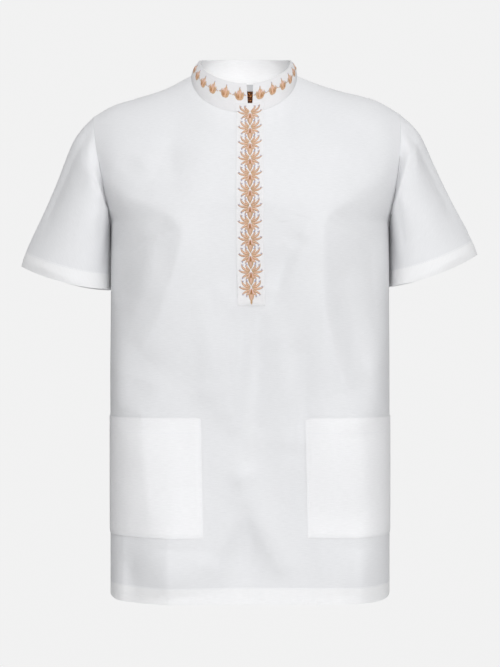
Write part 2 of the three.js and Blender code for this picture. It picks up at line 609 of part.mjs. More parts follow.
function build() {
  const group = new THREE.Group();
  group.name = 'fatua';
  const outerOf = (face) => (i, j, point) => {
    const flat = vec(point.x * 0.35, face * 60, 0);
    if (ROWS[i].rise !== undefined) flat.z = 60 * ROWS[i].rise;
    return flat;
  };
  const panels = {};
  for (const [name, face, form] of [['front', -1, FRONT], ['back', 1, BACK]]) {
    const grid = panelGrid(face, form);
    const cols = grid[0].length;
    const normals = gridNormals(grid, outerOf(face));
    const shareAt = (j) => (face > 0 ? SHARES[j] : SHARES[j > (SHARES.length - 1) / 2 ? j - 1 : j]);
    normals.forEach((line, i) =>
      line.forEach((normal, j) => {
        const side = i <= UNDERARM_ROW && (j === 0 || j === cols - 1);
        const shoulder = i === ROWS.length - 1 && Math.abs(shareAt(j)) >= NECK_SHARE - 1e-9;
        if (side) normal.set(Math.sign(SHARES[j === 0 ? 0 : SHARES.length - 1]), 0, 0);
        if (shoulder) {
          const x = topX(shareAt(j));
          normal.set(-(shoulderZ(x + 2) - shoulderZ(x - 2)) / 4, 0, 1).normalize();
        }
      }),
    );
    const steps = normals.map((line, i) =>
      line.map((normal) => normal.clone().multiplyScalar(-(i <= 1 ? HEM_WALL : CLOTH))),
    );
    panels[name] = { face, grid, normals, steps, cols, shareAt };
  }
  const { front, back } = panels;

  // Sleeves share the armhole line with both panels.
  for (const side of ['left', 'right']) {
    const loop = armhole(side);
    const rings = sleeveRings(side, loop);
    const hub = (i) => rings[i].reduce((sum, p) => sum.add(p), vec(0, 0, 0)).divideScalar(RING);
    const hubs = rings.map((_, i) => hub(i));
    const normals = gridNormals(rings, (i, j, point) => point.clone().sub(hubs[i]), true);
    const sign = SLEEVES[side].side;
    normals[0][RISE_STEPS].set(-sign, 0, 0);
    const panelOf = (k) => (k <= RISE_STEPS ? front : back);
    const rowOf = (k) => UNDERARM_ROW + (k <= RISE_STEPS ? RISE_STEPS - k : k - RISE_STEPS);
    const columnOf = (panel) => (side === 'left' ? 0 : panel.cols - 1);
    const own = loop.map((_, k) => panelOf(k).normals[rowOf(k)][columnOf(panelOf(k))]);
    const leave = loop.map((point, k) => {
      const panel = panelOf(k);
      const column = columnOf(panel);
      const inside = panel.grid[rowOf(k)][column === 0 ? 1 : column - 1];
      return k === RISE_STEPS ? vec(0, 0, 1) : point.clone().sub(inside).normalize();
    });
    const enter = rings[1].map((point, k) => point.clone().sub(rings[0][k]).normalize());
    const joins = joint(loop, own, normals[0], leave, enter, vec(sign, 0, 0));
    const done = new Set();
    loop.forEach((_, k) => {
      for (const panel of k === 0 || k === RISE_STEPS ? [front, back] : [panelOf(k)]) {
        const column = columnOf(panel);
        const key = `${panel.face},${rowOf(k)}`;
        if (done.has(key)) continue;
        done.add(key);
        panel.grid[rowOf(k)][column].sub(vec(joins[k].shift.x, 0, joins[k].shift.z));
        const step = joins[k].own.clone().multiplyScalar(CLOTH);
        if (k === 0 || k === RISE_STEPS) step.y = 0;
        panel.steps[rowOf(k)][column] = step;
      }
      rings[0][k].add(joins[k].shift);
    });
    const thick = (i) => (i >= rings.length - 2 ? HEM_WALL : CLOTH);
    const inner = rings.map((ring, i) =>
      ring.map((point, k) => {
        if (i === 0) return point.clone().addScaledVector(joins[k].other, CLOTH);
        return point.clone().addScaledVector(normals[i][k], -thick(i));
      }),
    );
    group.add(wall(`sleeve_${side}`, rings, inner, LOOKS.body, { wrap: true, flip: side === 'left' }));
  }

  // The collar stands on the neck line of both panels.
  const stations = neckStations();
  const top = ROWS.length - 1;
  const columnFor = (station) => {
    const middle = (SHARES.length - 1) / 2;
    const at = SHARES.indexOf(station.s);
    if (station.face > 0) return at;
    if (station.end) return station.end < 0 ? middle : middle + 1;
    return at > middle ? at + 1 : at;
  };
  const panelFor = (station) => (station.face < 0 ? front : back);
  const bases = stations.map((station) => {
    const point = panelFor(station).grid[top][columnFor(station)].clone();
    if (Math.abs(Math.abs(station.s) - NECK_SHARE) < 1e-9) point.y = 0;
    return point;
  });
  const band = collarRows(bases, stations);
  const bandNormals = gridNormals(band, (i, j, point) => vec(point.x - NECK.centre, point.y, 0));
  const own = stations.map((station) => panelFor(station).normals[top][columnFor(station)]);
  const leave = stations.map((station, j) => {
    const below = panelFor(station).grid[top - 1][columnFor(station)];
    return bases[j].clone().sub(below).normalize();
  });
  const enter = band[1].map((point, j) => point.clone().sub(band[0][j]).normalize());
  const joins = joint(bases, own, bandNormals[0], leave, enter, null);
  stations.forEach((station, j) => {
    const atSide = Math.abs(Math.abs(station.s) - NECK_SHARE) < 1e-9;
    for (const panel of atSide ? [front, back] : [panelFor(station)]) {
      const column = columnFor({ ...station, face: panel.face });
      const shift = joins[j].shift.clone();
      const step = joins[j].own.clone().multiplyScalar(CLOTH);
      if (atSide) {
        shift.y = 0;
        step.y = 0;
      }
      panel.grid[top][column].sub(shift);
      panel.steps[top][column] = step;
    }
    band[0][j].addScaledVector(joins[j].shift, COLLAR_LIFT);
  });
  const bandInner = band.map((line, i) =>
    line.map((point, j) => {
      const step = i === 0 ? joins[j].other : bandNormals[i][j].clone().negate();
      return point.clone().addScaledVector(step, COLLAR_WALL);
    }),
  );
  group.add(wall('collar', band, bandInner, LOOKS.double, { flip: true }));

  // Front and back walls.
  for (const [name, panel] of Object.entries(panels)) {
    const inner = panel.grid.map((line, i) => line.map((point, j) => point.clone().add(panel.steps[i][j])));
    const middle = (SHARES.length - 1) / 2;
    const slit = name === 'front' ? { column: middle, row: SLIT_ROW } : null;
    panel.inner = inner;
    group.add(wall(name, panel.grid, inner, LOOKS.body, { flip: name === 'back', slit }));
  }

  // Patches lie on a panel: their points are the panel's own, moved off it.
  const onPanel = (panel, i, x, gap) => {
    const grid = gap > 0 ? panel.grid[i] : panel.inner[i];
    let j = 0;
    while (j < panel.cols - 2 && grid[j + 1].x < x) j += 1;
    const t = clamp((x - grid[j].x) / Math.max(1e-6, grid[j + 1].x - grid[j].x), 0, 1);
    const point = grid[j].clone().lerp(grid[j + 1], t);
    const normal = panel.normals[i][j].clone().lerp(panel.normals[i][j + 1], t).normalize();
    return { near: point.clone().addScaledVector(normal, gap), normal };
  };
  const patch = (name, panel, rows, xsAt, gap, thickness, look, above = []) => {
    const outside = gap > 0;
    const lines = [...rows.map((i) => xsAt(i).map((x) => onPanel(panel, i, x, gap))), ...above];
    const near = lines.map((line) => line.map((entry) => entry.near));
    const far = lines.map((line) =>
      line.map((e) => e.near.clone().addScaledVector(e.normal, outside ? thickness : -thickness)));
    const [outer, inner] = outside ? [far, near] : [near, far];
    group.add(wall(name, outer, inner, look, { flip: panel === back }));
  };
  const rowsBetween = (low, high) =>
    ROWS.map((row, i) => i).filter((i) => {
      const z = front.grid[i][(SHARES.length - 1) / 2].z;
      return z >= low - 1e-6 && z <= high + 1e-6;
    });
  const pocketRows = rowsBetween(POCKET_BOTTOM_Z, POCKET_TOP_Z);
  for (const [name, side, inside] of [['pocket_left', -1, POCKET_LEFT_X], ['pocket_right', 1, POCKET_RIGHT_X]]) {
    const xsAt = (i) => {
      const xs = front.grid[i].map((point) => point.x).filter((x) => side * x >= Math.abs(inside) - 1e-3);
      const outermost = side * (HALF_WIDTH - 0.12);
      const kept = xs.filter((x) => Math.abs(x) < HALF_WIDTH - 0.2);
      return side < 0 ? [outermost, ...kept] : [...kept, outermost];
    };
    patch(name, front, pocketRows, xsAt, PATCH_GAP, PATCH_WALL, LOOKS.double);
  }
  // The placket's upper end runs over the collar's foot and closes the slit there.
  const onCollar = (x, share) => {
    const way = x < 0 ? 1 : -1;
    let j = x < 0 ? 0 : stations.length - 1;
    while (Math.abs(band[0][j + way].x) < Math.abs(x)) j += way;
    const t = clamp((x - band[0][j].x) / (band[0][j + way].x - band[0][j].x), 0, 1);
    const [low, high] = [0, 1].map((i) => band[i][j].clone().lerp(band[i][j + way], t));
    const normal = bandNormals[1][j].clone().lerp(bandNormals[1][j + way], t).normalize();
    return { near: low.lerp(high, share / COLLAR_STEPS[1]).addScaledVector(normal, PATCH_GAP), normal };
  };
  const placketXs = [-PLACKET_HALF, -11, -3.2, 3.2, 11, PLACKET_HALF];
  const placketRows = rowsBetween(PLACKET_END_Z, -40);
  const placketHead = PLACKET_ON_COLLAR.map((share) => placketXs.map((x) => onCollar(x, share)));
  patch('placket', front, placketRows, () => placketXs, PATCH_GAP, PATCH_WALL, LOOKS.embroidered, placketHead);
  const underXs = [-UNDER_HALF, -9, 0, 9, UNDER_HALF];
  patch('placket_under', front, rowsBetween(PLACKET_END_Z, -66), () => underXs, -PATCH_GAP, PATCH_WALL, LOOKS.body);

  // The label hangs inside the back, just under the neck seam.
  const labelXs = [-LABEL_HALF, -LABEL_HALF / 2, 0, LABEL_HALF / 2, LABEL_HALF].map((x) => x + NECK.centre);
  const labelLine = (x, z) => {
    const point = vec(x, depthAt(1, x, z) + SEAM, z);
    const slopeX = (depthAt(1, x + 2, z) - depthAt(1, x - 2, z)) / 4;
    const slopeZ = (depthAt(1, x, z + 2) - depthAt(1, x, z - 2)) / 4;
    return { point, normal: vec(-slopeX, 1, -slopeZ).normalize() };
  };
  const labelFaces = [LABEL_TOP_Z - LABEL_DROP, LABEL_TOP_Z - LABEL_DROP / 2, LABEL_TOP_Z].map((z) =>
    labelXs.map((x) => labelLine(x, z)),
  );
  const off = (inset) => labelFaces.map((line) =>
    line.map(({ point, normal }) => point.clone().addScaledVector(normal, -inset)));
  group.add(wall('label', off(CLOTH + 0.9), off(CLOTH + 1.9), LOOKS.label, { flip: true }));
  return group;
}

export default build();
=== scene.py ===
"""Looks of a white cotton fatua with a stand collar, an embroidered placket and two large pockets."""

import math

import bpy
import numpy as np
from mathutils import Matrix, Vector


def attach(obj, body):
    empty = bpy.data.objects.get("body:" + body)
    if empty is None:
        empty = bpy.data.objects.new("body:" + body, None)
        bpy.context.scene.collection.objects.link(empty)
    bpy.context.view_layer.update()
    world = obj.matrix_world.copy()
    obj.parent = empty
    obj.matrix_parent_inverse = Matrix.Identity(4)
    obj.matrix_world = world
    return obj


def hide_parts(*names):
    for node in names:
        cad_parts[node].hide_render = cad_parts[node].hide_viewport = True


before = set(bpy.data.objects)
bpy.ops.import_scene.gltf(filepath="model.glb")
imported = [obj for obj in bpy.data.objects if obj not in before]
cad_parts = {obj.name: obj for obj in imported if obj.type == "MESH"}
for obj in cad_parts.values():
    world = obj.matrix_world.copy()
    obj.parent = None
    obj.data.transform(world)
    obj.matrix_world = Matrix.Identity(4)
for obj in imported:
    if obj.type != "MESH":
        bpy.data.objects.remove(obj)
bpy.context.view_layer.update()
RNG = np.random.default_rng(11)
MM = 0.001

# ---- sizes, in millimetres, in the part's frame: the front faces -y ----
SEAM = 0.15
WALL = 1.1
HEM_WALL = 1.9
COLLAR_WALL = 2.0
PATCH_GAP = 0.3
PATCH_WALL = 0.9
HEM_Z = -783.0
HEM_CORNER = 6.0
HEM_TURN = 25.0
UNDERARM_Z = -225.0
HALF_WIDTH = 211.0
YOKE_Z = -200.0
SLIT_END_Z = -338.0
SLIT_TOP_HALF, SLIT_LOW_HALF, SLIT_SPREAD = 2.6, 0.5, 36.0
POCKET_TOP_Z, POCKET_BOTTOM_Z = -511.0, -686.0
POCKET_LEFT_X, POCKET_RIGHT_X = -70.0, 82.0
PLACKET_HALF = 20.0
PLACKET_END_Z = -348.0
PLACKET_ON_COLLAR = (2.4, 4.6, 6.8, 9.0, 11.0)
NECK_CENTRE, NECK_HALF, NECK_Z = -9.0, 81.0, 6.0
NECK_FRONT_DROP, NECK_BACK_DROP = 66.5, 4.0
NECK_SHARE = 0.42
TIP_X = {-1: -239.0, 1: 229.0}

SECTION_COLUMNS = ("z", "left", "right", "reach", "power", "front", "back")
SECTIONS = (
    (-783, 211, 211, 211, 3.6, 121, 108),
    (-500, 211, 211, 211, 3.6, 121, 108),
    (-330, 211, 211, 211, 3.2, 121, 108),
    (-225, 211, 211, 211, 2.7, 121, 108),
    (-200, 214, 213.5, 222, 2.4, 122, 108),
    (-179, 218, 217, 236, 2.15, 123, 108),
    (-140, 225, 223, 256, 2.0, 124, 108),
    (-107, 232, 226.5, 268, 2.0, 126, 108),
    (-57, 239, 229, 280, 2.0, 126, 108),
)
SHOULDER = (
    (-243, -59), (-207, -39), (-178, -30), (-131, -15), (-90, 6), (-45, 27), (0, 35),
    (40, 27), (72, 6), (129, -15), (190, -31), (233, -55),
)
SLEEVE_COLUMNS = ("side", "outer_x", "outer_z", "inner_x", "inner_z", "depth", "sag")
SLEEVES = {
    "left": (-1, -345, -286, -213.2, -321, 58, 8),
    "right": (1, 344, -268, 213.2, -316, 58, 8),
}
SLEEVE_SKEW, SLEEVE_SQUARE = 0.36, 0.4
SLEEVE_CAP = ((0, 0), (0.1, 9), (0.18, 12), (0.32, 10), (0.5, 6.5), (0.75, 3), (1, 0))
CUFF_ROWS = 12

# How creases and edges fall off: the rounding of their line, the power of the fall and the share of their
# height that is left at their ends; an edge's slope reaches out to EDGE_REACH falls.
CREASE_SOFT, CREASE_POWER, CREASE_LEAST = 9.0, 1.3, 0.35
EDGE_SOFT, EDGE_POWER, EDGE_LEAST, EDGE_REACH = 5.0, 1.2, 0.3, 1.8
END_SOFT, END_SHARE = 3.0, 0.12
SLEEVE_LINE_SOFT, SLEEVE_LINE_END = 0.08, 0.12

# Long soft edges where the cloth turns away towards the sides: points (x, z), the fall to the left and to the
# right of someone who walks along them, and the height.
EDGE_COLUMNS = ("points", "left", "right", "high")
FRONT_EDGES = (
    # from the armhole over the chest, then down and out under the arm
    (((-212, -170), (-158, -196), (-112, -218), (-97, -242), (-104, -282), (-117, -322), (-134, -368),
      (-162, -412), (-196, -440)), 90, 40, 24.0),
    (((212, -140), (162, -178), (116, -212), (105, -236), (104, -290), (107, -345), (119, -405),
      (138, -470), (152, -520)), 40, 90, 24.0),
    # on the outer parts of the pockets, and under the left one
    (((-158, -505), (-150, -600), (-142, -690)), 46, 30, 8.0),
    (((160, -520), (166, -600), (178, -700)), 28, 46, 8.0),
    (((-117, -690), (-119, -740), (-116, -783)), 54, 26, 15.0),
)
BACK_EDGES = (
    (((-212, -166), (-150, -205), (-96, -240), (-86, -268), (-98, -330), (-126, -392),
      (-176, -446)), 84, 42, 20.0),
    (((212, -158), (150, -205), (98, -246), (90, -275), (96, -340), (112, -410),
      (140, -500)), 42, 84, 20.0),
)

# Creases: a line from (x, z) to (tx, tz), bent sideways by bow in its middle, with its fall to the left and
# to the right of someone who walks along it, and its height. They are uneven, as the cloth hangs.
CREASE_COLUMNS = ("x", "z", "tx", "tz", "bow", "left", "right", "high")
FRONT_CREASES = (
    # the viewer's left, under the arm
    (-196, -262, -186, -352, -6, 12, 16, -5.5),
    (-146, -246, -170, -350, 8, 15, 15, 6.0),
    (-160, -446, -182, -505, 4, 20, 20, -5.0),
    (-196, -340, -204, -470, 0, 16, 12, 4.5),
    (-118, -84, -116, -172, -5, 22, 50, -8.0),
    (-126, -60, -150, -128, 6, 22, 22, 4.0),
    (-166, -120, -196, -150, 4, 14, 14, -4.0),
    # the viewer's right
    (134, -310, 170, -462, -6, 18, 22, -7.5),
    (192, -400, 182, -500, 0, 12, 16, 6.0),
    (64, -256, 30, -336, -3, 9, 16, -6.0),
    (84, -250, 56, -316, 0, 12, 8, 2.5),
    (112, -92, 124, -150, 4, 18, 22, 3.5),
    (160, -70, 190, -118, 4, 18, 18, -4.5),
    (60, -96, 52, -150, 3, 10, 16, 3.0),
    # faint streaks under the placket
    (-66, -346, -60, -470, 3, 7, 12, 4.5),
    (-42, -330, -38, -500, -3, 6, 9, 4.0),
    (-16, -352, -22, -520, 3, 7, 8, 4.5),
    (14, -368, 8, -520, -2, 8, 10, -4.0),
    (44, -400, 52, -540, 4, 9, 12, 4.0),
    (76, -420, 70, -560, 4, 12, 14, -4.5),
    # between and under the pockets
    (-8, -600, -54, -724, 5, 12, 15, 6.5),
    (-8, -600, 45, -724, -5, 15, 12, 6.5),
    (-6, -648, -2, -770, 0, 18, 18, -4.5),
    (-190, -696, -194, -783, 0, 10, 12, 7.0),
    (-186, -698, -182, -778, 0, 10, 22, -7.0),
    (104, -690, 112, -783, 5, 30, 16, 4.5),
    (158, -690, 150, -783, 4, 16, 16, 4.5),
    (166, -690, 170, -800, 0, 26, 18, 8.0),
    (-118, -540, -104, -690, 0, 14, 14, 2.0),
    (118, -530, 112, -690, 0, 14, 14, 2.0),
)
BACK_CREASES = (
    (-70, -30, 56, -34, 4, 14, 14, -4.0),
    (-120, -330, -146, -560, 8, 18, 24, -7.5),
    (-88, -300, -116, -600, 6, 16, 22, 6.0),
    (125, -340, 146, -620, 6, 24, 18, -7.5),
    (-40, -420, -58, -783, 8, 18, 26, 8.5),
    (-16, -460, -24, -783, -6, 14, 16, -6.5),
    (52, -400, 66, -783, 8, 20, 24, 8.0),
    (30, -520, 26, -783, 4, 12, 12, -5.5),
    (-150, -560, -160, -783, 6, 16, 20, -7.5),
    (158, -600, 162, -783, 4, 15, 18, 7.0),
    (-186, -520, -190, -783, 0, 14, 14, 5.5),
    (100, -620, 108, -783, 4, 16, 16, -5.5),
)
# On a sleeve a crease runs from (turn, t) to (to_turn, to_t): turn 0 on top, 90 in front, 180 underneath;
# t 0 at the armhole, 1 at the cuff. It falls off over two angles: towards the smaller and the larger turn.
# An edge has the same columns; it keeps an even slope to each side, as the long edges of the body do.
SLEEVE_EDGES = {
    "left": (130, 0.03, 66, 0.94, 50, 90, 14.0),
    "right": (116, 0.03, 64, 0.94, 46, 90, 14.0),
}
SLEEVE_CREASES = {
    "left": (
        # turn, t, to_turn, to_t, before, after, high
        (40, 0.08, 34, 0.60, 16, 18, -3.5),
        (150, 0.05, 148, 0.70, 12, 12, -3.0),
        (104, 0.00, 84, 0.13, 12, 10, 4.0),
        (112, 0.12, 122, 0.40, 10, 12, -2.5),
        (18, 0.30, 14, 0.85, 14, 14, 2.5),
        (262, 0.02, 286, 0.97, 70, 32, 5.5),
        (318, 0.10, 322, 0.70, 16, 18, -3.5),
        (210, 0.05, 212, 0.70, 12, 14, -3.0),
    ),
    "right": (
        (42, 0.08, 36, 0.60, 18, 18, -3.5),
        (90, 0.00, 60, 0.16, 12, 12, 4.5),
        (112, 0.14, 120, 0.50, 10, 12, -3.0),
        (150, 0.08, 150, 0.80, 12, 12, -2.5),
        (22, 0.20, 18, 0.80, 14, 14, 2.5),
        (260, 0.02, 276, 0.97, 70, 32, 5.5),
        (316, 0.10, 322, 0.70, 16, 18, -3.5),
        (268, 0.00, 300, 0.18, 12, 12, 4.0),
    ),
}


# ---- curves and surfaces ----
def smooth(points):
    """A smooth curve through the points of a table, without overshoot between them."""
    xs, ys = np.array(points, float).T
    step = np.diff(xs)
    rise = np.diff(ys) / step
    tangent = np.zeros(len(xs))
    tangent[0], tangent[-1] = rise[0], rise[-1]
    for i in range(1, len(xs) - 1):
        a, b = rise[i - 1], rise[i]
        tangent[i] = 0 if a * b <= 0 else 2 * a * b / (a + b)

    def curve(x):
        x = np.asarray(x, float)
        i = np.clip(np.searchsorted(xs, x, side="right") - 1, 0, len(xs) - 2)
        h = step[i]
        t = np.clip((x - xs[i]) / h, 0, 1)
        inside = (
            (2 * t**3 - 3 * t**2 + 1) * ys[i]
            + (t**3 - 2 * t**2 + t) * h * tangent[i]
            + (3 * t**2 - 2 * t**3) * ys[i + 1]
            + (t**3 - t**2) * h * tangent[i + 1]
        )
        below = np.minimum(x - xs[0], 0) * tangent[0]
        above = np.maximum(x - xs[-1], 0) * tangent[-1]
        return inside + below + above

    return curve


SECTION = {
    name: smooth([(row[0], row[k]) for row in SECTIONS])
    for k, name in enumerate(SECTION_COLUMNS[1:], 1)
}
shoulder_z, cap_out = smooth(SHOULDER), smooth(SLEEVE_CAP)


def lerp(a, b, t):
    return a + (b - a) * t


def ease(a, b, v):
    t = np.clip((v - a) / (b - a), 0, 1)
    return t * t * (3 - 2 * t)


def unit(v):
    return v / np.maximum(np.linalg.norm(v, axis=-1, keepdims=True), 1e-9)


def neck_z(face, x):
    across = np.clip((x - NECK_CENTRE) / NECK_HALF, -1, 1)
    drop = NECK_FRONT_DROP if face < 0 else NECK_BACK_DROP
    return NECK_Z - drop * np.sqrt(1 - across**2)


def depth_at(face, x, z):
    full = SECTION["front"](z) if face < 0 else SECTION["back"](z)
    reach, power = SECTION["reach"](z), SECTION["power"](z)
    across = np.maximum(0, 1 - np.minimum(1, np.abs(x) / reach) ** power)
    rise = np.clip((z - YOKE_Z) / (shoulder_z(x) - YOKE_Z), 0, 1)
    outward = ease(80, 170, np.abs(x))
    bow = 1.6 if face < 0 else 2.0
    lean = lerp(1.25, 1.5, outward) if face < 0 else lerp(2.4, 2.0, outward)
    return full * across ** (1 / power) * (1 - rise**bow) ** (1 / lean)


def fall_between(left, right, aside, away):
    """The fall on each side of a line, blended round its ends."""
    return lerp(right, left, 0.5 + 0.5 * aside / np.sqrt(aside**2 + away**2 + END_SOFT**2))


def edge_fall(far):
    """Height at a distance counted in falls: beside an edge it is an even slope, beside a crease a bell."""
    return np.maximum(0, 1 - far / EDGE_REACH) ** EDGE_POWER


def crease_fall(far):
    return np.exp(-(far**CREASE_POWER))


def fade_along(share, least):
    return least + (1 - least) * np.sin(np.pi * np.clip(share, END_SHARE, 1 - END_SHARE))


def crease_height(creases, x, z):
    total = np.zeros_like(x)
    for row in creases:
        c = dict(zip(CREASE_COLUMNS, row))
        dx, dz = c["tx"] - c["x"], c["tz"] - c["z"]
        length = math.hypot(dx, dz)
        along = ((x - c["x"]) * dx + (z - c["z"]) * dz) / length**2
        near = np.clip(along, 0, 1)
        aside = (-(x - c["x"]) * dz + (z - c["z"]) * dx) / length - 4 * c["bow"] * near * (1 - near)
        beyond = (along - near) * length
        far = np.sqrt(aside**2 + beyond**2 + CREASE_SOFT**2) - CREASE_SOFT
        fall = fall_between(c["left"], c["right"], aside, beyond)
        total += c["high"] * fade_along(near, CREASE_LEAST) * crease_fall(far / fall)
    return total


def edge_height(edges, x, z):
    """Height of the long edges: an even slope on each side of a curved line."""
    total = np.zeros_like(x)
    for row in edges:
        e = dict(zip(EDGE_COLUMNS, row))
        knots = e["points"]
        path = np.linspace(0, len(knots) - 1, 6 * len(knots))
        line = np.stack([smooth(list(enumerate(values)))(path) for values in zip(*knots)], -1)
        best, aside, share = np.full(x.shape, np.inf), np.zeros_like(x), np.zeros_like(x)
        for i, ((x0, z0), (x1, z1)) in enumerate(zip(line[:-1], line[1:])):
            dx, dz = x1 - x0, z1 - z0
            along = np.clip(((x - x0) * dx + (z - z0) * dz) / (dx**2 + dz**2), 0, 1)
            off_x, off_z = x - x0 - along * dx, z - z0 - along * dz
            away = np.hypot(off_x, off_z)
            nearer = away < best
            aside = np.where(nearer, (-off_x * dz + off_z * dx) / math.hypot(dx, dz), aside)
            share = np.where(nearer, (i + along) / (len(line) - 1), share)
            best = np.minimum(best, away)
        fall = fall_between(e["left"], e["right"], aside, np.sqrt(np.maximum(best**2 - aside**2, 0)))
        far = (np.sqrt(best**2 + EDGE_SOFT**2) - EDGE_SOFT) / fall
        total += e["high"] * fade_along(share, EDGE_LEAST) * edge_fall(far)
    return total


def ripple(x, z, seed, size, high):
    """Slow unevenness of hanging cloth: a few sine waves of mixed direction."""
    rng = np.random.default_rng(seed)
    total = np.zeros_like(x)
    for _ in range(7):
        angle, phase = rng.uniform(0, 2 * np.pi), rng.uniform(0, 2 * np.pi)
        length = size * rng.uniform(0.6, 1.6)
        total += np.sin((x * np.cos(angle) + 0.6 * z * np.sin(angle)) * 2 * np.pi / length + phase)
    return high * total / 7


def top_x(s):
    side = np.where(s < 0, -1.0, 1.0)
    share = np.abs(s) / NECK_SHARE
    turn0 = math.asin(-NECK_CENTRE / NECK_HALF)
    turn = turn0 + side * share * (np.pi / 2 - side * turn0)
    neck = NECK_CENTRE + NECK_HALF * np.sin(turn)
    corner = NECK_CENTRE + NECK_HALF * side
    tip = np.where(s < 0, TIP_X[-1], TIP_X[1])
    return np.where(share <= 1, neck, lerp(corner, tip, (np.abs(s) - NECK_SHARE) / (1 - NECK_SHARE)))


def top_z(face, s):
    x = top_x(s)
    return np.where(np.abs(s) <= NECK_SHARE + 1e-9, neck_z(face, x), shoulder_z(x))


def panel_y(face, x, z, calm):
    edges, creases, seed = (FRONT_EDGES, FRONT_CREASES, 3) if face < 0 else (BACK_EDGES, BACK_CREASES, 5)
    fold = edge_height(edges, x, z) + crease_height(creases, x, z)
    fold += ripple(x, z, seed, 150, 2.0) + ripple(x, z, seed + 9, 55, 0.7)
    return face * (depth_at(face, x, z) + SEAM + fold * calm)


def panel_grid(face, shares, rows):
    """rows: (z, None) below the underarm, (None, rise) above it. Returns points (rows, columns, 3)."""
    s = shares[None, :]
    low_x = HALF_WIDTH * np.sin(np.pi / 2 * s)
    out = []
    for z_low, rise in rows:
        if rise is None:
            corner = HEM_CORNER * (np.abs(low_x) / HALF_WIDTH) ** 24 * ease(HEM_Z + 70, HEM_Z, z_low)
            z, x, settle = z_low + corner, low_x, 1.0
        else:
            z = lerp(UNDERARM_Z, top_z(face, s), rise)
            x = lerp(low_x, top_x(s), rise)
            edge = np.where(s < 0, -SECTION["left"](z), SECTION["right"](z))
            tip = np.where(s < 0, TIP_X[-1], TIP_X[1])
            straight = lerp(np.sign(s) * HALF_WIDTH, tip, rise)
            x = x + np.abs(s) ** 4 * (edge - straight) * (1 - rise**6)
            settle = 1 - rise**3
        y = panel_y(face, x, z, (1 - np.abs(s) ** 8) * settle)
        out.append(np.stack([x, y, z], -1)[0])
    return np.array(out)


def grid_normals(grid, toward, wrap=False):
    across = np.roll(grid, -1, 1) - np.roll(grid, 1, 1) if wrap else np.gradient(grid, axis=1)
    normals = unit(np.cross(across, np.gradient(grid, axis=0)))
    normals[np.sum(normals * toward, -1) < 0] *= -1
    return normals


def mitre(own, other, thickness):
    cosine = np.sum(own * other, -1, keepdims=True)
    shared = -(own + other) * thickness / np.maximum(0.15, 1 + cosine)
    return lerp(-own * thickness, shared, ease(-0.6, -0.1, cosine))


# ---- meshes ----
def add(name, data):
    obj = bpy.data.objects.new(name, data)
    bpy.context.scene.collection.objects.link(obj)
    return obj


def link(name, mesh, material):
    mesh.materials.append(material)
    return add(name, mesh)


def dress(mesh, uv):
    """Smooth shading, and on each corner the cloth's lengths at its point."""
    corner = np.zeros(len(mesh.loops), np.int32)
    mesh.loops.foreach_get("vertex_index", corner)
    mesh.uv_layers.new(name="cloth").data.foreach_set("uv", uv[corner].ravel().astype(np.float32))
    mesh.polygons.foreach_set("use_smooth", np.ones(len(mesh.polygons), bool))


def path_length(points):
    """Length from the first point of a path, or of each column of a grid, up to each of them."""
    steps = np.linalg.norm(np.diff(points, axis=0), axis=-1)
    return np.concatenate([np.zeros_like(steps[:1]), np.cumsum(steps, 0)])


def cloth_lengths(grid):
    """Lengths in metres along both directions of the cloth, for the weave."""
    u, v = path_length(grid.swapaxes(0, 1)).T, path_length(grid)
    u = u - u[:, [grid.shape[1] // 2]]
    return np.stack([u, v], -1) * MM


def wall(name, outer, inner, material, wrap=False, slit=None, layers=0.0, inside=None):
    """Closes two grids into one thin wall. slit = (column, row): no cell right of that column above it."""
    rows, cols = outer.shape[:2]
    index = np.arange(rows * cols).reshape(rows, cols)
    if slit:
        column, row = slit
        index[: row + 1, column + 1] = index[: row + 1, column]
    right = np.roll(index, -1, 1)
    a, b = index[:-1], right[:-1]
    c, d = right[1:], index[1:]
    keep = np.ones(a.shape, bool)
    if not wrap:
        keep[:, -1] = False
    if slit:
        keep[:, slit[0]] = False
    quads = np.stack([a[keep], b[keep], c[keep], d[keep]], -1)
    count = rows * cols
    pts = np.concatenate([outer.reshape(-1, 3), inner.reshape(-1, 3)])
    i0, j0 = rows // 3, cols // 3
    sample = np.cross(outer[i0, j0 + 1] - outer[i0, j0], outer[i0 + 1, j0] - outer[i0, j0])
    if np.dot(sample, outer[i0, j0] - inner[i0, j0]) < 0:
        quads = quads[:, ::-1]
    sides = np.concatenate([quads[:, [0, 1]], quads[:, [1, 2]], quads[:, [2, 3]], quads[:, [3, 0]]])
    sides = sides[sides[:, 0] != sides[:, 1]]
    keys = sides[:, 0] * count + sides[:, 1]
    twins = sides[:, 1] * count + sides[:, 0]
    border = sides[~np.isin(keys, twins)]
    rim = np.stack([border[:, 1], border[:, 0], border[:, 0] + count, border[:, 1] + count], -1)
    faces = np.concatenate([quads, quads[:, ::-1] + count, rim])
    used = np.unique(faces)
    renumber = np.zeros(2 * count, int)
    renumber[used] = np.arange(len(used))
    mesh = bpy.data.meshes.new(name)
    mesh.from_pydata((pts[used] * MM).tolist(), [], renumber[faces].tolist())
    dress(mesh, np.concatenate([cloth_lengths(outer).reshape(-1, 2)] * 2)[used])
    both = (layers, layers if inside is None else inside)
    layer_values = np.concatenate([np.broadcast_to(side, outer.shape[:2]).ravel() for side in both])[used]
    attribute = mesh.attributes.new("layers", "FLOAT", "POINT")
    attribute.data.foreach_set("value", layer_values.astype(np.float32))
    mesh.set_sharp_from_angle(angle=math.radians(55))
    mesh.validate()
    return link(name, mesh, material)


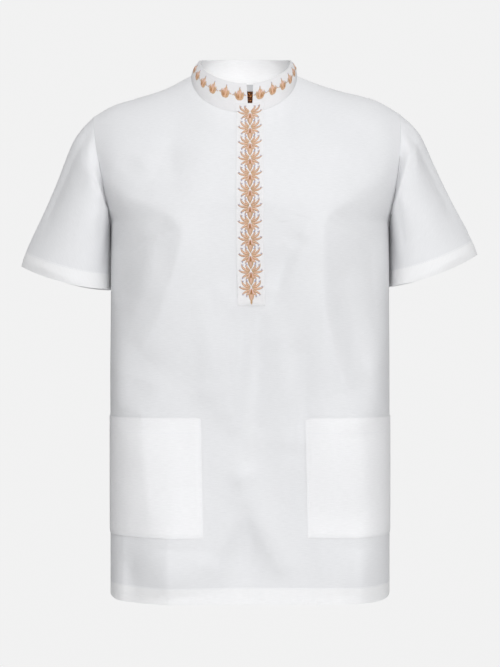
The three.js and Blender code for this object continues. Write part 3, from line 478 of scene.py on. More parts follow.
class Lay:
    """A surface with its own coordinates (u along columns, v along rows), to lay sewn work on."""

    def __init__(self, grid, normals, us, vs):
        self.grid, self.normals, self.us, self.vs = grid, normals, np.asarray(us), np.asarray(vs)

    def at(self, u, v, height=0.0):
        i, j = (
            np.minimum(np.interp(at, knots, np.arange(len(knots))), len(knots) - 1.0001)
            for at, knots in ((v, self.vs), (u, self.us))
        )
        i0, j0 = i.astype(int), j.astype(int)
        fi, fj = (i - i0)[..., None], (j - j0)[..., None]

        def pick(g):
            low = lerp(g[i0, j0], g[i0, j0 + 1], fj)
            high = lerp(g[i0 + 1, j0], g[i0 + 1, j0 + 1], fj)
            return lerp(low, high, fi)

        normal = unit(pick(self.normals))
        return pick(self.grid) + normal * np.asarray(height)[..., None], normal


class Bits:
    """Collects many small meshes into one."""

    def __init__(self):
        self.verts, self.faces, self.colors, self.uvs, self.count = [], [], [], [], 0

    def add(self, verts, faces, color, uvs=None):
        self.verts.append(verts)
        self.faces.append(np.asarray(faces) + self.count)
        self.colors.append(np.tile(np.append(color, 1.0), (len(verts), 1)))
        self.uvs.append(np.zeros((len(verts), 2)) if uvs is None else uvs)
        self.count += len(verts)

    def make(self, name, material):
        mesh = bpy.data.meshes.new(name)
        faces = [f for block in self.faces for f in block.tolist()]
        mesh.from_pydata((np.concatenate(self.verts) * MM).tolist(), [], faces)
        color = mesh.color_attributes.new("thread", "FLOAT_COLOR", "POINT")
        color.data.foreach_set("color", np.concatenate(self.colors).ravel().astype(np.float32))
        dress(mesh, np.concatenate(self.uvs))
        return link(name, mesh, material)


# ---- materials ----
class Nodes:
    def __init__(self, name):
        self.material = bpy.data.materials.new(name)
        self.material.use_nodes = True
        self.tree = self.material.node_tree
        self.tree.nodes.clear()

    def node(self, kind, **values):
        """A node; in_Some_Name sets the input of that name."""
        node = self.tree.nodes.new("ShaderNode" + kind)
        for key, value in values.items():
            if key.startswith("in_"):
                node.inputs[key[3:].replace("_", " ")].default_value = value
            else:
                setattr(node, key, value)
        return node

    def join(self, a, out, b, into):
        self.tree.links.new(a.outputs[out], b.inputs[into])

    def multiply(self, a, b):
        node = self.node("Math", operation="MULTIPLY")
        self.join(a, 0, node, 0)
        self.join(b, 0, node, 1)
        return node

    def on_cloth(self, kind, **values):
        node = self.node(kind, **values)
        self.join(self.node("UVMap", uv_map="cloth"), "UV", node, "Vector")
        return node

    def wave(self, axis, pitch):
        """A sine along one direction of the cloth, one wave for each pitch."""
        scaled, sine = self.node("Math", operation="MULTIPLY"), self.node("Math", operation="SINE")
        scaled.inputs[1].default_value = 2 * math.pi / pitch
        self.join(self.on_cloth("SeparateXYZ"), axis, scaled, 0)
        self.join(scaled, 0, sine, 0)
        return sine

    def noise(self, detail, roughness, stretch, scale=1.0):
        noise = self.node("TexNoise", in_Scale=scale, in_Detail=detail, in_Roughness=roughness)
        self.join(self.on_cloth("Mapping", in_Scale=stretch), 0, noise, "Vector")
        return noise

    def ranged(self, source, low, high, to_low=0.0, to_high=1.0):
        node = self.node("MapRange", in_From_Min=low, in_From_Max=high, in_To_Min=to_low, in_To_Max=to_high)
        self.join(source, 0, node, "Value")
        return node

    def blend(self, source, out, first, second):
        """A colour between two, which leaves by the node's output 2."""
        mix = self.node("Mix", data_type="RGBA")
        mix.inputs[6].default_value = (*first, 1)
        mix.inputs[7].default_value = (*second, 1)
        self.join(source, out, mix, 0)
        return mix

    def bump(self, source, strength, distance):
        bump = self.node("Bump", in_Strength=strength, in_Distance=distance)
        self.join(source, 0, bump, "Height")
        return bump

    def done(self, shader):
        self.join(shader, 0, self.node("OutputMaterial"), "Surface")
        return self.material


WEAVE_PITCH, STRAND_PITCH = 0.00042, 0.42


def cotton(name, single, double_and_painted_tone, translucence=0.22):
    """Plain-woven cotton: thin where single, brighter where two layers lie together; some callers pass
    painted light as its colours: a painted highlight for the collar's inside face, painted shade for the
    placket strip.
    """
    n = Nodes(name)
    layers = n.node("Attribute", attribute_name="layers")
    color = n.blend(layers, "Fac", single, double_and_painted_tone)
    slub = n.noise(3.0, 0.6, (90, 900, 1))
    toned = n.node("VectorMath", operation="SCALE")
    n.join(color, 2, toned, 0)
    n.join(n.ranged(slub, 0.3, 0.7, 0.965, 1.02), 0, toned, "Scale")
    fine = n.bump(n.multiply(n.wave("X", WEAVE_PITCH), n.wave("Y", WEAVE_PITCH)), 0.35, 0.00008)
    broad = n.bump(n.noise(5.0, 0.55, (1, 1, 1), scale=55.0), 0.5, 0.0007)
    n.join(fine, "Normal", broad, "Normal")
    shader = n.node(
        "BsdfPrincipled", in_Roughness=0.88, in_Specular_IOR_Level=0.2,
        in_Sheen_Weight=0.15, in_Sheen_Roughness=0.4,
    )
    n.join(toned, 0, shader, "Base Color")
    n.join(broad, "Normal", shader, "Normal")
    glow = n.node("BsdfTranslucent")
    n.join(toned, 0, glow, "Color")
    mix = n.node("MixShader", in_Fac=translucence)
    n.join(shader, 0, mix, 1)
    n.join(glow, 0, mix, 2)
    return n.done(mix)


def thread(name):
    """Satin-stitched floss: its colour is painted on the points, its strands run across each shape."""
    n = Nodes(name)
    paint = n.node("Attribute", attribute_name="thread")
    bump = n.bump(n.wave("X", STRAND_PITCH), 0.8, 0.00018)
    shader = n.node("BsdfPrincipled", in_Roughness=0.5, in_Sheen_Weight=0.3, in_Anisotropic=0.5)
    n.join(paint, "Color", shader, "Base Color")
    n.join(bump, "Normal", shader, "Normal")
    return n.done(shader)


def flecked_tape(name, ground, fleck):
    """Dark woven tape with a few short bright floats."""
    n = Nodes(name)
    share = n.ranged(n.noise(2.0, 0.6, (700, 420, 1)), 0.54, 0.62)
    shader = n.node("BsdfPrincipled", in_Roughness=0.9, in_Specular_IOR_Level=0.1)
    n.join(n.blend(share, 0, ground, fleck), 2, shader, "Base Color")
    return n.done(shader)


def plain(name, color, roughness=0.8, emission=0.0):
    n = Nodes(name)
    shader = n.node(
        "BsdfPrincipled", in_Roughness=roughness, in_Base_Color=(*color, 1),
        in_Emission_Color=(1, 1, 1, 1), in_Emission_Strength=emission,
    )
    return n.done(shader)


SINGLE = (0.78, 0.785, 0.80)
DOUBLE = (0.855, 0.857, 0.865)
POCKET = (0.785, 0.787, 0.80)
BAND = (0.78, 0.775, 0.785)
# Painted shade: the placket strip is the body's cotton, given a darker colour to offset the extra light that
# the front-facing strip catches.
PLACKET_PAINTED_SHADE = (0.715, 0.71, 0.72)
# Painted highlight: the collar's inside face is the same cloth as its outside, given a much brighter colour
# to stand in for the light that falls into the neck.
COLLAR_INSIDE_PAINTED_LIGHT = (0.95, 0.95, 0.955)
BODY = cotton("body_cotton", SINGLE, DOUBLE)
TWOFOLD = cotton("double_cotton", POCKET, POCKET, translucence=0.1)
COLLAR_CLOTH = cotton("collar_cotton", BAND, COLLAR_INSIDE_PAINTED_LIGHT, translucence=0.3)
# The placket's whole colour is the darker painted shade.
PLACKET_CLOTH = cotton("placket_cotton", PLACKET_PAINTED_SHADE, PLACKET_PAINTED_SHADE, translucence=0.1)
FLOSS = thread("floss")
SEWING = plain("sewing_thread", (0.72, 0.73, 0.76), 0.6)
LABEL_TAPE = flecked_tape("label_tape", (0.045, 0.018, 0.012), (0.62, 0.22, 0.05))

# ---- the body ----
SIDE_STEPS, NECK_STEPS = 46, 40
side = np.linspace(NECK_SHARE, 1, SIDE_STEPS + 1)
half = np.concatenate([np.linspace(0, NECK_SHARE, NECK_STEPS + 1)[1:], side[1:]])
SHARES = np.concatenate([-half[::-1], [0.0], half])
MIDDLE = len(half)
low = np.unique(np.concatenate([
    np.linspace(HEM_Z, UNDERARM_Z, 168),
    [HEM_Z + HEM_TURN - 1.2, HEM_Z + HEM_TURN, HEM_Z + 1.2, SLIT_END_Z],
]))
RISE_STEPS = 72
rises = (1 - np.cos(np.pi * np.arange(1, RISE_STEPS + 1) / RISE_STEPS)) / 2
ROWS = [(z, None) for z in low] + [(None, r) for r in rises]
UNDERARM_ROW = len(low) - 1
SLIT_ROW = int(np.argmin(np.abs(low - SLIT_END_Z)))


def spread_slit(x, half):
    """x of the cloth beside a slit that opens by half to each side; further away it stays."""
    return x + np.sign(x) * half * np.maximum(0, 1 - np.abs(x) / SLIT_SPREAD)


def build_panel(face):
    grid = panel_grid(face, SHARES, ROWS)
    if face < 0:
        gap = np.where(
            np.arange(len(ROWS)) > SLIT_ROW,
            lerp(SLIT_LOW_HALF, SLIT_TOP_HALF, ease(-110, -58, grid[:, MIDDLE, 2])), 0.0,
        )
        left, right = grid[:, MIDDLE].copy(), grid[:, MIDDLE].copy()
        left[:, 0], right[:, 0] = -gap, gap
        grid[..., 0] = spread_slit(grid[..., 0], gap[:, None])
        grid = np.concatenate([grid[:, :MIDDLE], left[:, None], right[:, None], grid[:, MIDDLE + 1:]], 1)
    flat = np.zeros(grid.shape[:2])
    toward = np.stack([grid[..., 0] * 0.35, flat + face * 60.0, flat], -1)
    toward[UNDERARM_ROW:, :, 2] = 60 * np.linspace(0, 1, len(ROWS) - UNDERARM_ROW)[:, None]
    safe = grid.copy()
    if face < 0:
        safe[:, MIDDLE, 0] -= 0.4
        safe[:, MIDDLE + 1, 0] += 0.4
    normals = grid_normals(safe, toward)
    shares = SHARES if face > 0 else np.concatenate([SHARES[: MIDDLE + 1], SHARES[MIDDLE:]])
    for column, sign in ((0, -1), (-1, 1)):
        normals[: UNDERARM_ROW + 1, column] = (sign, 0, 0)
    ridge = np.abs(shares) >= NECK_SHARE - 1e-9
    x = top_x(shares[ridge])
    slope = (shoulder_z(x + 2) - shoulder_z(x - 2)) / 4
    normals[-1, ridge] = unit(np.stack([-slope, np.zeros_like(slope), np.ones_like(slope)], -1))
    thick = np.where(grid[..., 2] < HEM_Z + HEM_TURN - 1, HEM_WALL, WALL)
    steps = -normals * thick[..., None]
    return {"face": face, "grid": grid, "normals": normals, "steps": steps, "shares": shares}


FRONT, BACK = build_panel(-1), build_panel(1)


def joint(line, own, other, leave, enter, bias=None):
    across = leave + enter
    if bias is not None:
        across = across + 0.2 * np.asarray(bias, float)
    return unit(across) * SEAM, mitre(own, other, 1.0), mitre(other, own, 1.0)


# ---- sleeves ----
RING = 2 * RISE_STEPS
HEM_STEP = 0.012


def build_sleeve(name):
    cut = dict(zip(SLEEVE_COLUMNS, SLEEVES[name]))
    sign = cut["side"]
    column = 0 if sign < 0 else -1
    k = np.arange(RING)
    front_side = k <= RISE_STEPS
    row = UNDERARM_ROW + np.where(front_side, RISE_STEPS - k, k - RISE_STEPS)

    def pick(key, column):
        return np.where(front_side[:, None], FRONT[key][row, column], BACK[key][row, column])

    loop, own, below = pick("grid", column), pick("normals", column), pick("grid", 1 if sign < 0 else -2)
    loop[[0, RISE_STEPS], 1] = 0
    turn = 2 * np.pi * k / RING
    centre = np.array([(cut["outer_x"] + cut["inner_x"]) / 2, 0, (cut["outer_z"] + cut["inner_z"]) / 2])
    arm = np.array([(cut["outer_x"] - cut["inner_x"]) / 2, 0, (cut["outer_z"] - cut["inner_z"]) / 2])
    cuff = centre + arm * np.cos(turn)[:, None]
    front = np.sin(turn - SLEEVE_SKEW * np.sin(turn) * np.sign(np.pi - turn))
    square = lerp(1.0, SLEEVE_SQUARE, ease(0.1, -0.5, np.cos(turn)))
    cuff[:, 1] = -cut["depth"] * np.sign(front) * np.abs(front) ** square
    cuff[:, 2] -= cut["sag"] * np.sin(turn) ** 2
    away = unit(arm) * np.cos(turn)[:, None]
    away[:, 1] = -np.sin(turn)
    under = ((1 - np.cos(turn)) / 2) ** 3
    upper = ((1 + np.cos(turn)) / 2) ** 1.2
    hem_share = 1 - HEM_TURN / np.linalg.norm(loop - cuff, axis=-1)
    shares = [q * hem_share for q in np.linspace(0, 1, 70) ** 1.15]
    shares += [lerp(hem_share + HEM_STEP, 1, t) for t in np.linspace(0, 1, CUFF_ROWS + 1)]

    def place(t):
        degrees = np.degrees(turn)
        fold = np.zeros(RING)
        lines = [(edge_fall, SLEEVE_EDGES[name])] + [(crease_fall, line) for line in SLEEVE_CREASES[name]]
        for fall_off, (from_turn, from_t, to_turn, to_t, before, after, high) in lines:
            near = np.clip((t - from_t) / (to_t - from_t), 0, 1)
            aside = degrees - lerp(from_turn, to_turn, near)
            beyond = (t - lerp(from_t, to_t, near)) / SLEEVE_LINE_END
            far_squared = (aside / np.where(aside < 0, before, after)) ** 2 + beyond**2
            fold += high * fall_off(np.sqrt(far_squared + SLEEVE_LINE_SOFT**2) - SLEEVE_LINE_SOFT)
        fold += ripple(turn * 60, t * 250, 21 + sign, 90, 1.0) * np.sin(turn / 2)
        point = lerp(loop, cuff, t[:, None])
        lift = cap_out(t) * upper + fold * (1 - under) * ease(0, 0.1, t)
        point = point + away * lift[:, None]
        point[:, 0] += sign * under * (0.9 + 1.2 * (1 - np.exp(-t / 0.1)) * (1 - t))
        return point

    rings = np.array([place(t) for t in shares])
    toward = rings - rings.mean(1, keepdims=True)
    normals = grid_normals(rings, toward, wrap=True)
    normals[0, RISE_STEPS] = (-sign, 0, 0)
    leave = unit(loop - below)
    leave[RISE_STEPS] = (0, 0, 1)
    enter = unit(rings[1] - rings[0])
    shift, mine, theirs = joint(loop, own, normals[0], leave, enter, (sign, 0, 0))
    for panel, chosen in ((FRONT, front_side), (BACK, (k >= RISE_STEPS) | (k == 0))):
        panel["grid"][row[chosen], column] -= shift[chosen] * (1, 0, 1)
        step = mine[chosen] * WALL
        step[np.isin(k[chosen], (0, RISE_STEPS)), 1] = 0
        panel["steps"][row[chosen], column] = step
    rings[0] += shift
    thick = np.full(len(rings), WALL)
    thick[-CUFF_ROWS:] = HEM_WALL
    inner = rings - normals * thick[:, None, None]
    inner[0] = rings[0] + theirs * WALL
    layers = np.zeros(rings.shape[:2])
    layers[-CUFF_ROWS - 1:] = 1
    piece = wall(f"sleeve_{name}_cloth", rings, inner, BODY, wrap=True, layers=layers)
    return piece, rings, normals


# ---- collar ----
COLLAR_ROWS = 20
COLLAR_HEIGHT, COLLAR_BULGE = 38, 2.2
COLLAR_TOP = {
    "centre": -7.0, "half": 70.0, "front": 62.0, "back": 55.0,
    "front_z": -14.5, "side_z": 30.0, "back_z": 40.0,
}
NOTCH_TOP = {-1: -5.4, 1: 4.9}


def build_collar():
    in_neck = np.flatnonzero(np.abs(SHARES) <= NECK_SHARE + 1e-9)
    left = in_neck[in_neck < MIDDLE][::-1]
    right = in_neck[in_neck > MIDDLE][::-1]
    stations = [(FRONT, MIDDLE, -1)] + [(FRONT, c, 0) for c in left]
    stations += [(BACK, c, 0) for c in in_neck[1:-1]]
    stations += [(FRONT, c + 1, 0) for c in right] + [(FRONT, MIDDLE + 1, 1)]
    base, own, under = (
        np.array([panel[key][row, c] for panel, c, _ in stations])
        for key, row in (("grid", -1), ("normals", -1), ("grid", -2))
    )
    at_side = np.array([abs(abs(panel["shares"][c]) - NECK_SHARE) < 1e-9 for panel, c, _ in stations])
    base[at_side, 1] = 0
    top = []
    for panel, c, end in stations:
        if end:
            top.append((NOTCH_TOP[end], -COLLAR_TOP["front"], COLLAR_TOP["front_z"]))
            continue
        share = (float(top_x(panel["shares"][c])) - NECK_CENTRE) / NECK_HALF
        front = math.sqrt(max(0.0, 1 - share * share))
        x = COLLAR_TOP["centre"] + COLLAR_TOP["half"] * share
        if panel is FRONT:
            x = spread_slit(x, abs(NOTCH_TOP[int(math.copysign(1, x))]))
            z = lerp(COLLAR_TOP["front_z"], COLLAR_TOP["side_z"], (1 - front) ** 0.9)
            top.append((x, -COLLAR_TOP["front"] * front, z))
        else:
            z = lerp(COLLAR_TOP["side_z"], COLLAR_TOP["back_z"], front)
            top.append((x, COLLAR_TOP["back"] * front, z))
    top = np.array(top)
    ts = np.linspace(0, 1, COLLAR_ROWS)
    band = lerp(base[None], top[None], ts[:, None, None])
    around = unit(np.stack([band[..., 0] - NECK_CENTRE, band[..., 1], np.zeros(band.shape[:2])], -1))
    band = band + around * (COLLAR_BULGE * np.sin(np.pi * ts))[:, None, None]
    normals = grid_normals(band, around)
    shift, mine, theirs = joint(base, own, normals[0], unit(base - under), unit(band[1] - band[0]))
    for k, (panel, c, _) in enumerate(stations):
        # at the sides of the neck, front and back share one point on the ridge
        both = ((FRONT, c), (BACK, c if c < MIDDLE else c - 1)) if at_side[k] else ((panel, c),)
        free = (1, 0, 1) if at_side[k] else (1, 1, 1)
        for part, column in both:
            part["grid"][-1, column] -= shift[k] * free
            part["steps"][-1, column] = mine[k] * WALL * free
    band[0] += shift
    inner = band - normals * COLLAR_WALL
    inner[0] = band[0] + theirs * COLLAR_WALL
    length = path_length(band[COLLAR_ROWS // 2])
    lay = Lay(band, normals, length, ts * COLLAR_HEIGHT)
    # inside=1.0 gives the collar's inner face the brighter painted-highlight colour.
    piece = wall("collar_cloth", band, inner, COLLAR_CLOTH, inside=1.0)
    return piece, lay, length


SLEEVE_PARTS = {name: build_sleeve(name) for name in SLEEVES}
COLLAR, COLLAR_LAY, COLLAR_LENGTH = build_collar()

NECK_FACING, FACING_HALF, FACING_SHARE = (30, 26), 84, 0.1


def finish_panel(panel, name):
    """Makes the panel's cloth: double in the hem, and a little whiter over the seam's edge round the neck."""
    grid = panel["grid"]
    x, z = grid[..., 0], grid[..., 2]
    in_hem = (z < HEM_Z + HEM_TURN).astype(float)
    in_facing = ease(*NECK_FACING, np.abs(z - neck_z(panel["face"], x))) * (z > UNDERARM_Z)
    in_facing *= np.abs(x - NECK_CENTRE) < FACING_HALF
    layers = np.maximum(in_hem, FACING_SHARE * in_facing)
    slit = (MIDDLE, SLIT_ROW) if panel["face"] < 0 else None
    return wall(name, grid, grid + panel["steps"], BODY, slit=slit, layers=layers)


FRONT_CLOTH = finish_panel(FRONT, "front_cloth")
BACK_CLOTH = finish_panel(BACK, "back_cloth")


# ---- patches on the front ----
def on_panel(panel, xs, zs, gap):
    """Points of a panel's face at (x, z), moved off it; negative gaps lie inside."""
    x, z = np.meshgrid(xs, zs) if np.ndim(xs) == 1 else (xs, zs)
    rise = np.clip((z - UNDERARM_Z) / (neck_z(panel["face"], x) - UNDERARM_Z), 0, 1)
    share = np.arcsin(np.clip(x / HALF_WIDTH, -1, 1)) / (np.pi / 2)
    calm = (1 - np.abs(share) ** 8) * (1 - rise**3)

    def point(px, pz):
        return np.stack([px, panel_y(panel["face"], px, pz, calm), pz], -1)

    step, edge = 0.5, HALF_WIDTH - 0.01
    across = point(np.clip(x + step, -edge, edge), z) - point(np.clip(x - step, -edge, edge), z)
    normal = unit(np.cross(across, point(x, z + step) - point(x, z - step)))
    normal[normal[..., 1] * panel["face"] < 0] *= -1
    return point(x, z) + normal * (gap if gap > 0 else gap - WALL), normal


def first_rows(count):
    """1 on the first row and 0 from the fourth on: where a patch's edge is pressed thin."""
    return ease(2.5, 0.5, np.arange(count))


POCKET_PUFF = 1.3


def pocket_share(z):
    return (z - POCKET_BOTTOM_Z) / (POCKET_TOP_Z - POCKET_BOTTOM_Z)


def build_pocket(name, sign, inside):
    start, stop = abs(inside), HALF_WIDTH - 0.15
    t = np.linspace(0, 1, 72)
    angle = lerp(math.asin(start / HALF_WIDTH), math.asin(stop / HALF_WIDTH), t)
    xs = sign * HALF_WIDTH * np.sin(angle)
    zs = np.linspace(POCKET_BOTTOM_Z, POCKET_TOP_Z, 84)
    x, z = np.meshgrid(xs, zs)
    # the inner edge leans a little and the upper inner corner is eased round
    x = x + ease(60, 0, np.abs(x) - start) * lerp(2.0, -1.5, pocket_share(z))
    corner = ease(9, 0, np.abs(x - inside)) * ease(9, 0, POCKET_TOP_Z - z)
    z = z - 3.0 * corner**2
    near, normal = on_panel(FRONT, x, z, PATCH_GAP)
    puff = POCKET_PUFF * np.sin(np.pi * np.clip(pocket_share(z), 0, 1)) ** 1.2 * np.sin(np.pi * t)
    swell = near + normal * puff[..., None]
    thin = np.maximum(first_rows(len(zs))[:, None], first_rows(len(xs)))
    far = swell + normal * (PATCH_WALL * lerp(1.0, 0.35, thin))[..., None]
    piece = wall(name, far, swell, TWOFOLD, layers=1.0)
    us = np.abs(angle - angle[0]) * HALF_WIDTH
    return piece, Lay(far, normal, us, zs)


POCKETS = {
    "left": build_pocket("pocket_left_cloth", -1, POCKET_LEFT_X),
    "right": build_pocket("pocket_right_cloth", 1, POCKET_RIGHT_X),
}


def placket_lean(z):
    """The strip swings a little to the viewer's right at its lower end."""
    return 2.0 * ease(-230, -348, z)


def build_placket():
    """The strip; its upper end runs over the collar's foot and closes the slit there."""
    xs = np.linspace(-PLACKET_HALF, PLACKET_HALF, 33)
    vs = np.linspace(0, 1, 220)
    x = np.tile(xs, (len(vs), 1))
    top = neck_z(-1, x) - 0.6
    z = lerp(np.full_like(x, PLACKET_END_Z), top, vs[:, None])
    x = x + placket_lean(z)
    near, normal = on_panel(FRONT, x, z, PATCH_GAP)
    away = np.maximum(np.abs(xs) - SLIT_TOP_HALF, 0)
    share = np.clip((xs + SLIT_TOP_HALF) / (2 * SLIT_TOP_HALF), 0, 1)[:, None]
    for height in PLACKET_ON_COLLAR:
        heights = np.full_like(xs, height)
        left, left_normal = COLLAR_LAY.at(away, heights, PATCH_GAP)
        right, right_normal = COLLAR_LAY.at(COLLAR_LENGTH[-1] - away, heights, PATCH_GAP)
        near = np.concatenate([near, lerp(left, right, share)[None]])
        normal = np.concatenate([normal, unit(lerp(left_normal, right_normal, share))[None]])
    thin = np.maximum(first_rows(len(near))[:, None], ease(PLACKET_HALF - 3, PLACKET_HALF, xs))
    far = near + normal * (PATCH_WALL * lerp(1.0, 0.3, thin))[..., None]
    piece = wall("placket_cloth", far, near, PLACKET_CLOTH, layers=1.0)
    return piece, Lay(far, normal, xs, far[:, len(xs) // 2, 2])


UNDER_HALF, UNDER_TOP_Z = 17, -68


def build_under():
    xs = np.linspace(-UNDER_HALF, UNDER_HALF, 13)
    zs = np.linspace(PLACKET_END_Z + 2, UNDER_TOP_Z, 90)
    x, z = np.meshgrid(xs, zs)
    near, normal = on_panel(FRONT, x, z, -PATCH_GAP)
    return wall("placket_under_cloth", near, near - normal * PATCH_WALL, BODY)


PLACKET, PLACKET_LAY = build_placket()
UNDER = build_under()

LABEL_HALF, LABEL_LOW_Z, LABEL_TOP_Z = 25, -42, -8.0
LABEL_GAP, LABEL_WALL = 1.5, 0.6


def build_label():
    xs = np.linspace(NECK_CENTRE - LABEL_HALF, NECK_CENTRE + LABEL_HALF, 21)
    x, z = np.meshgrid(xs, np.linspace(LABEL_LOW_Z, LABEL_TOP_Z, 12))
    grid = np.stack([x, depth_at(1, x, z) + SEAM - WALL - LABEL_GAP, z], -1)
    normals = grid_normals(grid, np.broadcast_to((0, 1.0, 0), grid.shape))
    return wall("label_tape", grid, grid - normals * LABEL_WALL, LABEL_TAPE)


LABEL = build_label()

# ---- embroidery ----
PEACH = (0.80, 0.50, 0.37)
ORANGE = (0.76, 0.46, 0.29)
TAN = (0.62, 0.39, 0.22)
SEED = (0.50, 0.22, 0.07)
PINK = (0.80, 0.53, 0.47)
LILAC = (0.50, 0.45, 0.55)
ACROSS = np.linspace(-1, 1, 7)
TIP_TURN = 40.0


def leaf(bits, lay, u, v, angle, length, width, curl, color, high=0.75, blunt=0.8):
    """One satin-stitched leaf from (u, v) towards angle, in degrees from up; it turns by curl on its way.
    Returns the point near its tip."""
    t = np.linspace(0, 1, 13)
    heading = np.radians(angle + curl * t**1.4)
    steps = np.stack([np.sin(heading), np.cos(heading)], -1) * (length / 12)
    spine = np.array([u, v]) + np.concatenate([np.zeros((1, 2)), np.cumsum(steps[:-1], 0)])
    aside = np.stack([np.cos(heading), -np.sin(heading)], -1)
    reach = width / 2 * np.sin(np.pi * np.clip(t, 0.02, 0.985) ** blunt) ** 0.75
    pts = spine[:, None] + aside[:, None] * (reach[:, None] * ACROSS[None])[..., None]
    height = high * np.sqrt(np.maximum(0, 1 - ACROSS**2))[None] * (reach / (width / 2))[:, None] ** 0.5 + 0.02
    world, _ = lay.at(pts[..., 0], pts[..., 1], height)
    rows, cols = world.shape[:2]
    index = np.arange(rows * cols).reshape(rows, cols)
    faces = np.stack([index[:-1, :-1], index[:-1, 1:], index[1:, 1:], index[1:, :-1]], -1).reshape(-1, 4)
    uvs = np.stack(np.meshgrid(ACROSS * width / 2, t * length), -1)[..., ::-1].reshape(-1, 2)
    shade = np.array(color) * RNG.uniform(0.93, 1.06)
    bits.add(world.reshape(-1, 3), faces, shade, uvs)
    return spine[-3]


def stem(bits, lay, points, width, color):
    """A thin stitched line through (u, v) points."""
    points = np.array(points, float)
    for (u0, v0), (u1, v1) in zip(points[:-1], points[1:]):
        length = math.hypot(u1 - u0, v1 - v0)
        angle = math.degrees(math.atan2(u1 - u0, v1 - v0))
        leaf(bits, lay, u0, v0, angle, length, width, 0, color, 0.35, 1.0)


def side_leaf(bits, lay, u, v, side, du, dv, angle, length, width, curl, *look):
    """A leaf that starts at (du, dv) from the middle of its figure and is mirrored to its left side."""
    return leaf(bits, lay, u + side * du, v + dv, side * angle, length, width, side * curl, *look)


# One side of a palmette about its seed: fronds that fan out from the point above the seed and curl up.
FRONDS = (
    # du, dv, angle, length, width, curl, high
    (1.2, 0.6, 130, 9.6, 3.4, 12, 0.55),
    (1.4, 3.0, 114, 14.2, 3.6, 14, 0.6),
    (1.4, 5.2, 102, 17.4, 3.6, -52, 0.65),
    (1.2, 6.6, 84, 18.0, 3.6, -92, 0.7),
    (0.9, 7.4, 60, 11.6, 3.4, -70, 0.75),
)

CORE = 0.62


def palmette(bits, lay, u, v):
    """A seed on a tapering foot, under fronds that fan out from one point like a fountain."""
    for side in (-1, 1):
        for du, dv, angle, length, width, curl, high in FRONDS:
            tip = side_leaf(bits, lay, u, v, side, du, dv, angle, length, width, curl, TAN, high)
            turn, start = math.radians(angle + curl * 0.12), (1 - CORE) * 0.25 * length
            side_leaf(
                bits, lay, u, v, side, du + start * math.sin(turn), dv + start * math.cos(turn),
                angle, length * (0.5 + CORE / 2), width * CORE, curl, PEACH, high + 0.3,
            )
            hook = side * math.copysign(TIP_TURN, curl)
            leaf(bits, lay, *tip, side * (angle + curl) + hook, 3.0, 2.3, hook, LILAC, 0.8)
        side_leaf(bits, lay, u, v, side, 0.7, 4.6, 172, 9.0, 2.6, -30, PINK, 0.85)
    leaf(bits, lay, u, v - 1.6, 180, 13.2, 8.4, 0, TAN, 0.7, 0.5)
    leaf(bits, lay, u, v - 3.2, 180, 9.6, 5.2, 0, PEACH, 1.0, 0.55)
    leaf(bits, lay, u, v - 4.2, 0, 8.2, 4.0, 0, SEED, 1.4, 0.75)


# One side of a bud: two side points and the line that marks its seed off.
BUD_SIDE = (
    # du, dv, angle, length, width, curl, colour, high, blunt
    (2.8, 1.6, 50, 8.6, 3.2, -74, TAN, 0.8, 0.7),
    (1.6, 5.6, 30, 5.0, 2.4, -60, PINK, 1.0, 0.8),
    (2.0, -0.4, 34, 7.4, 1.6, -54, SEED, 1.15, 0.85),
)


def bud(bits, lay, u, v, toward):
    """One bud of the collar's chain: a round drop with a bent point, small side points and a dark seed."""
    leaf(bits, lay, u, v - 2.4, 3 * toward, 14.4, 12.4, 10 * toward, TAN, 0.6, 0.6)
    leaf(bits, lay, u, v - 1.4, 3 * toward, 12.0, 9.6, 10 * toward, ORANGE, 0.95, 0.6)
    for side in (-1, 1):
        for row in BUD_SIDE:
            side_leaf(bits, lay, u, v, side, *row)
    side_leaf(bits, lay, u, v, toward, 0.4, 9.4, 12, 5.6, 2.2, -46, TAN, 0.8)
    side_leaf(bits, lay, u, v, toward, 1.0, 13.2, 0, 2.4, 2.0, 0, LILAC, 0.9)
    side_leaf(bits, lay, u, v, toward, -0.6, -0.6, -14, 6.6, 3.8, 20, SEED, 1.3, 0.7)
    for side in (-1, 1):
        points = [(u + side * du, v + dv) for du, dv in ((5.4, 2.4), (8.0, 4.4), (10.9, 3.8))]
        stem(bits, lay, points, 1.4, TAN)
        leaf(bits, lay, u + side * 8.0, v + 4.0, 0, 2.4, 1.8, 0, LILAC, 0.6)


PALMETTES, PALMETTE_PITCH, FIRST_SEED_Z = 12, 23.75, -66.5
BUDS, BUD_HEIGHT = 8, 17.6
BUD_STARTS = {-1: (12.2, 22.8), 1: (11.8, 21.8)}


def embroider():
    bits = Bits()
    for k in range(PALMETTES):
        palmette(bits, PLACKET_LAY, 0.0, FIRST_SEED_Z - PALMETTE_PITCH * k)
    leaf(bits, PLACKET_LAY, 0.0, -346.0, 0, 9.0, 3.2, 0, TAN, 0.7, 0.8)
    placket = bits.make("placket_embroidery", FLOSS)
    bits = Bits()
    for toward, (start, pitch) in BUD_STARTS.items():
        for k in range(BUDS):
            along = start + pitch * k
            u = along if toward < 0 else COLLAR_LENGTH[-1] - along
            bud(bits, COLLAR_LAY, u, BUD_HEIGHT + 0.5 * math.sin(k * 1.9), toward)
    return placket, bits.make("collar_embroidery", FLOSS)


PLACKET_WORK, COLLAR_WORK = embroider()


# ---- stitches ----
FINE_STITCH = {"pitch": 2.8, "long": 1.9, "radius": 0.22}
THREAD_COLOR = (0.8, 0.8, 0.82)
HEM_STITCH, POCKET_STITCH, PLACKET_STITCH, POCKET_HEM = 2.5, 2.2, 1.6, 22.0
COLLAR_STITCHES = (1.8, 36.0)


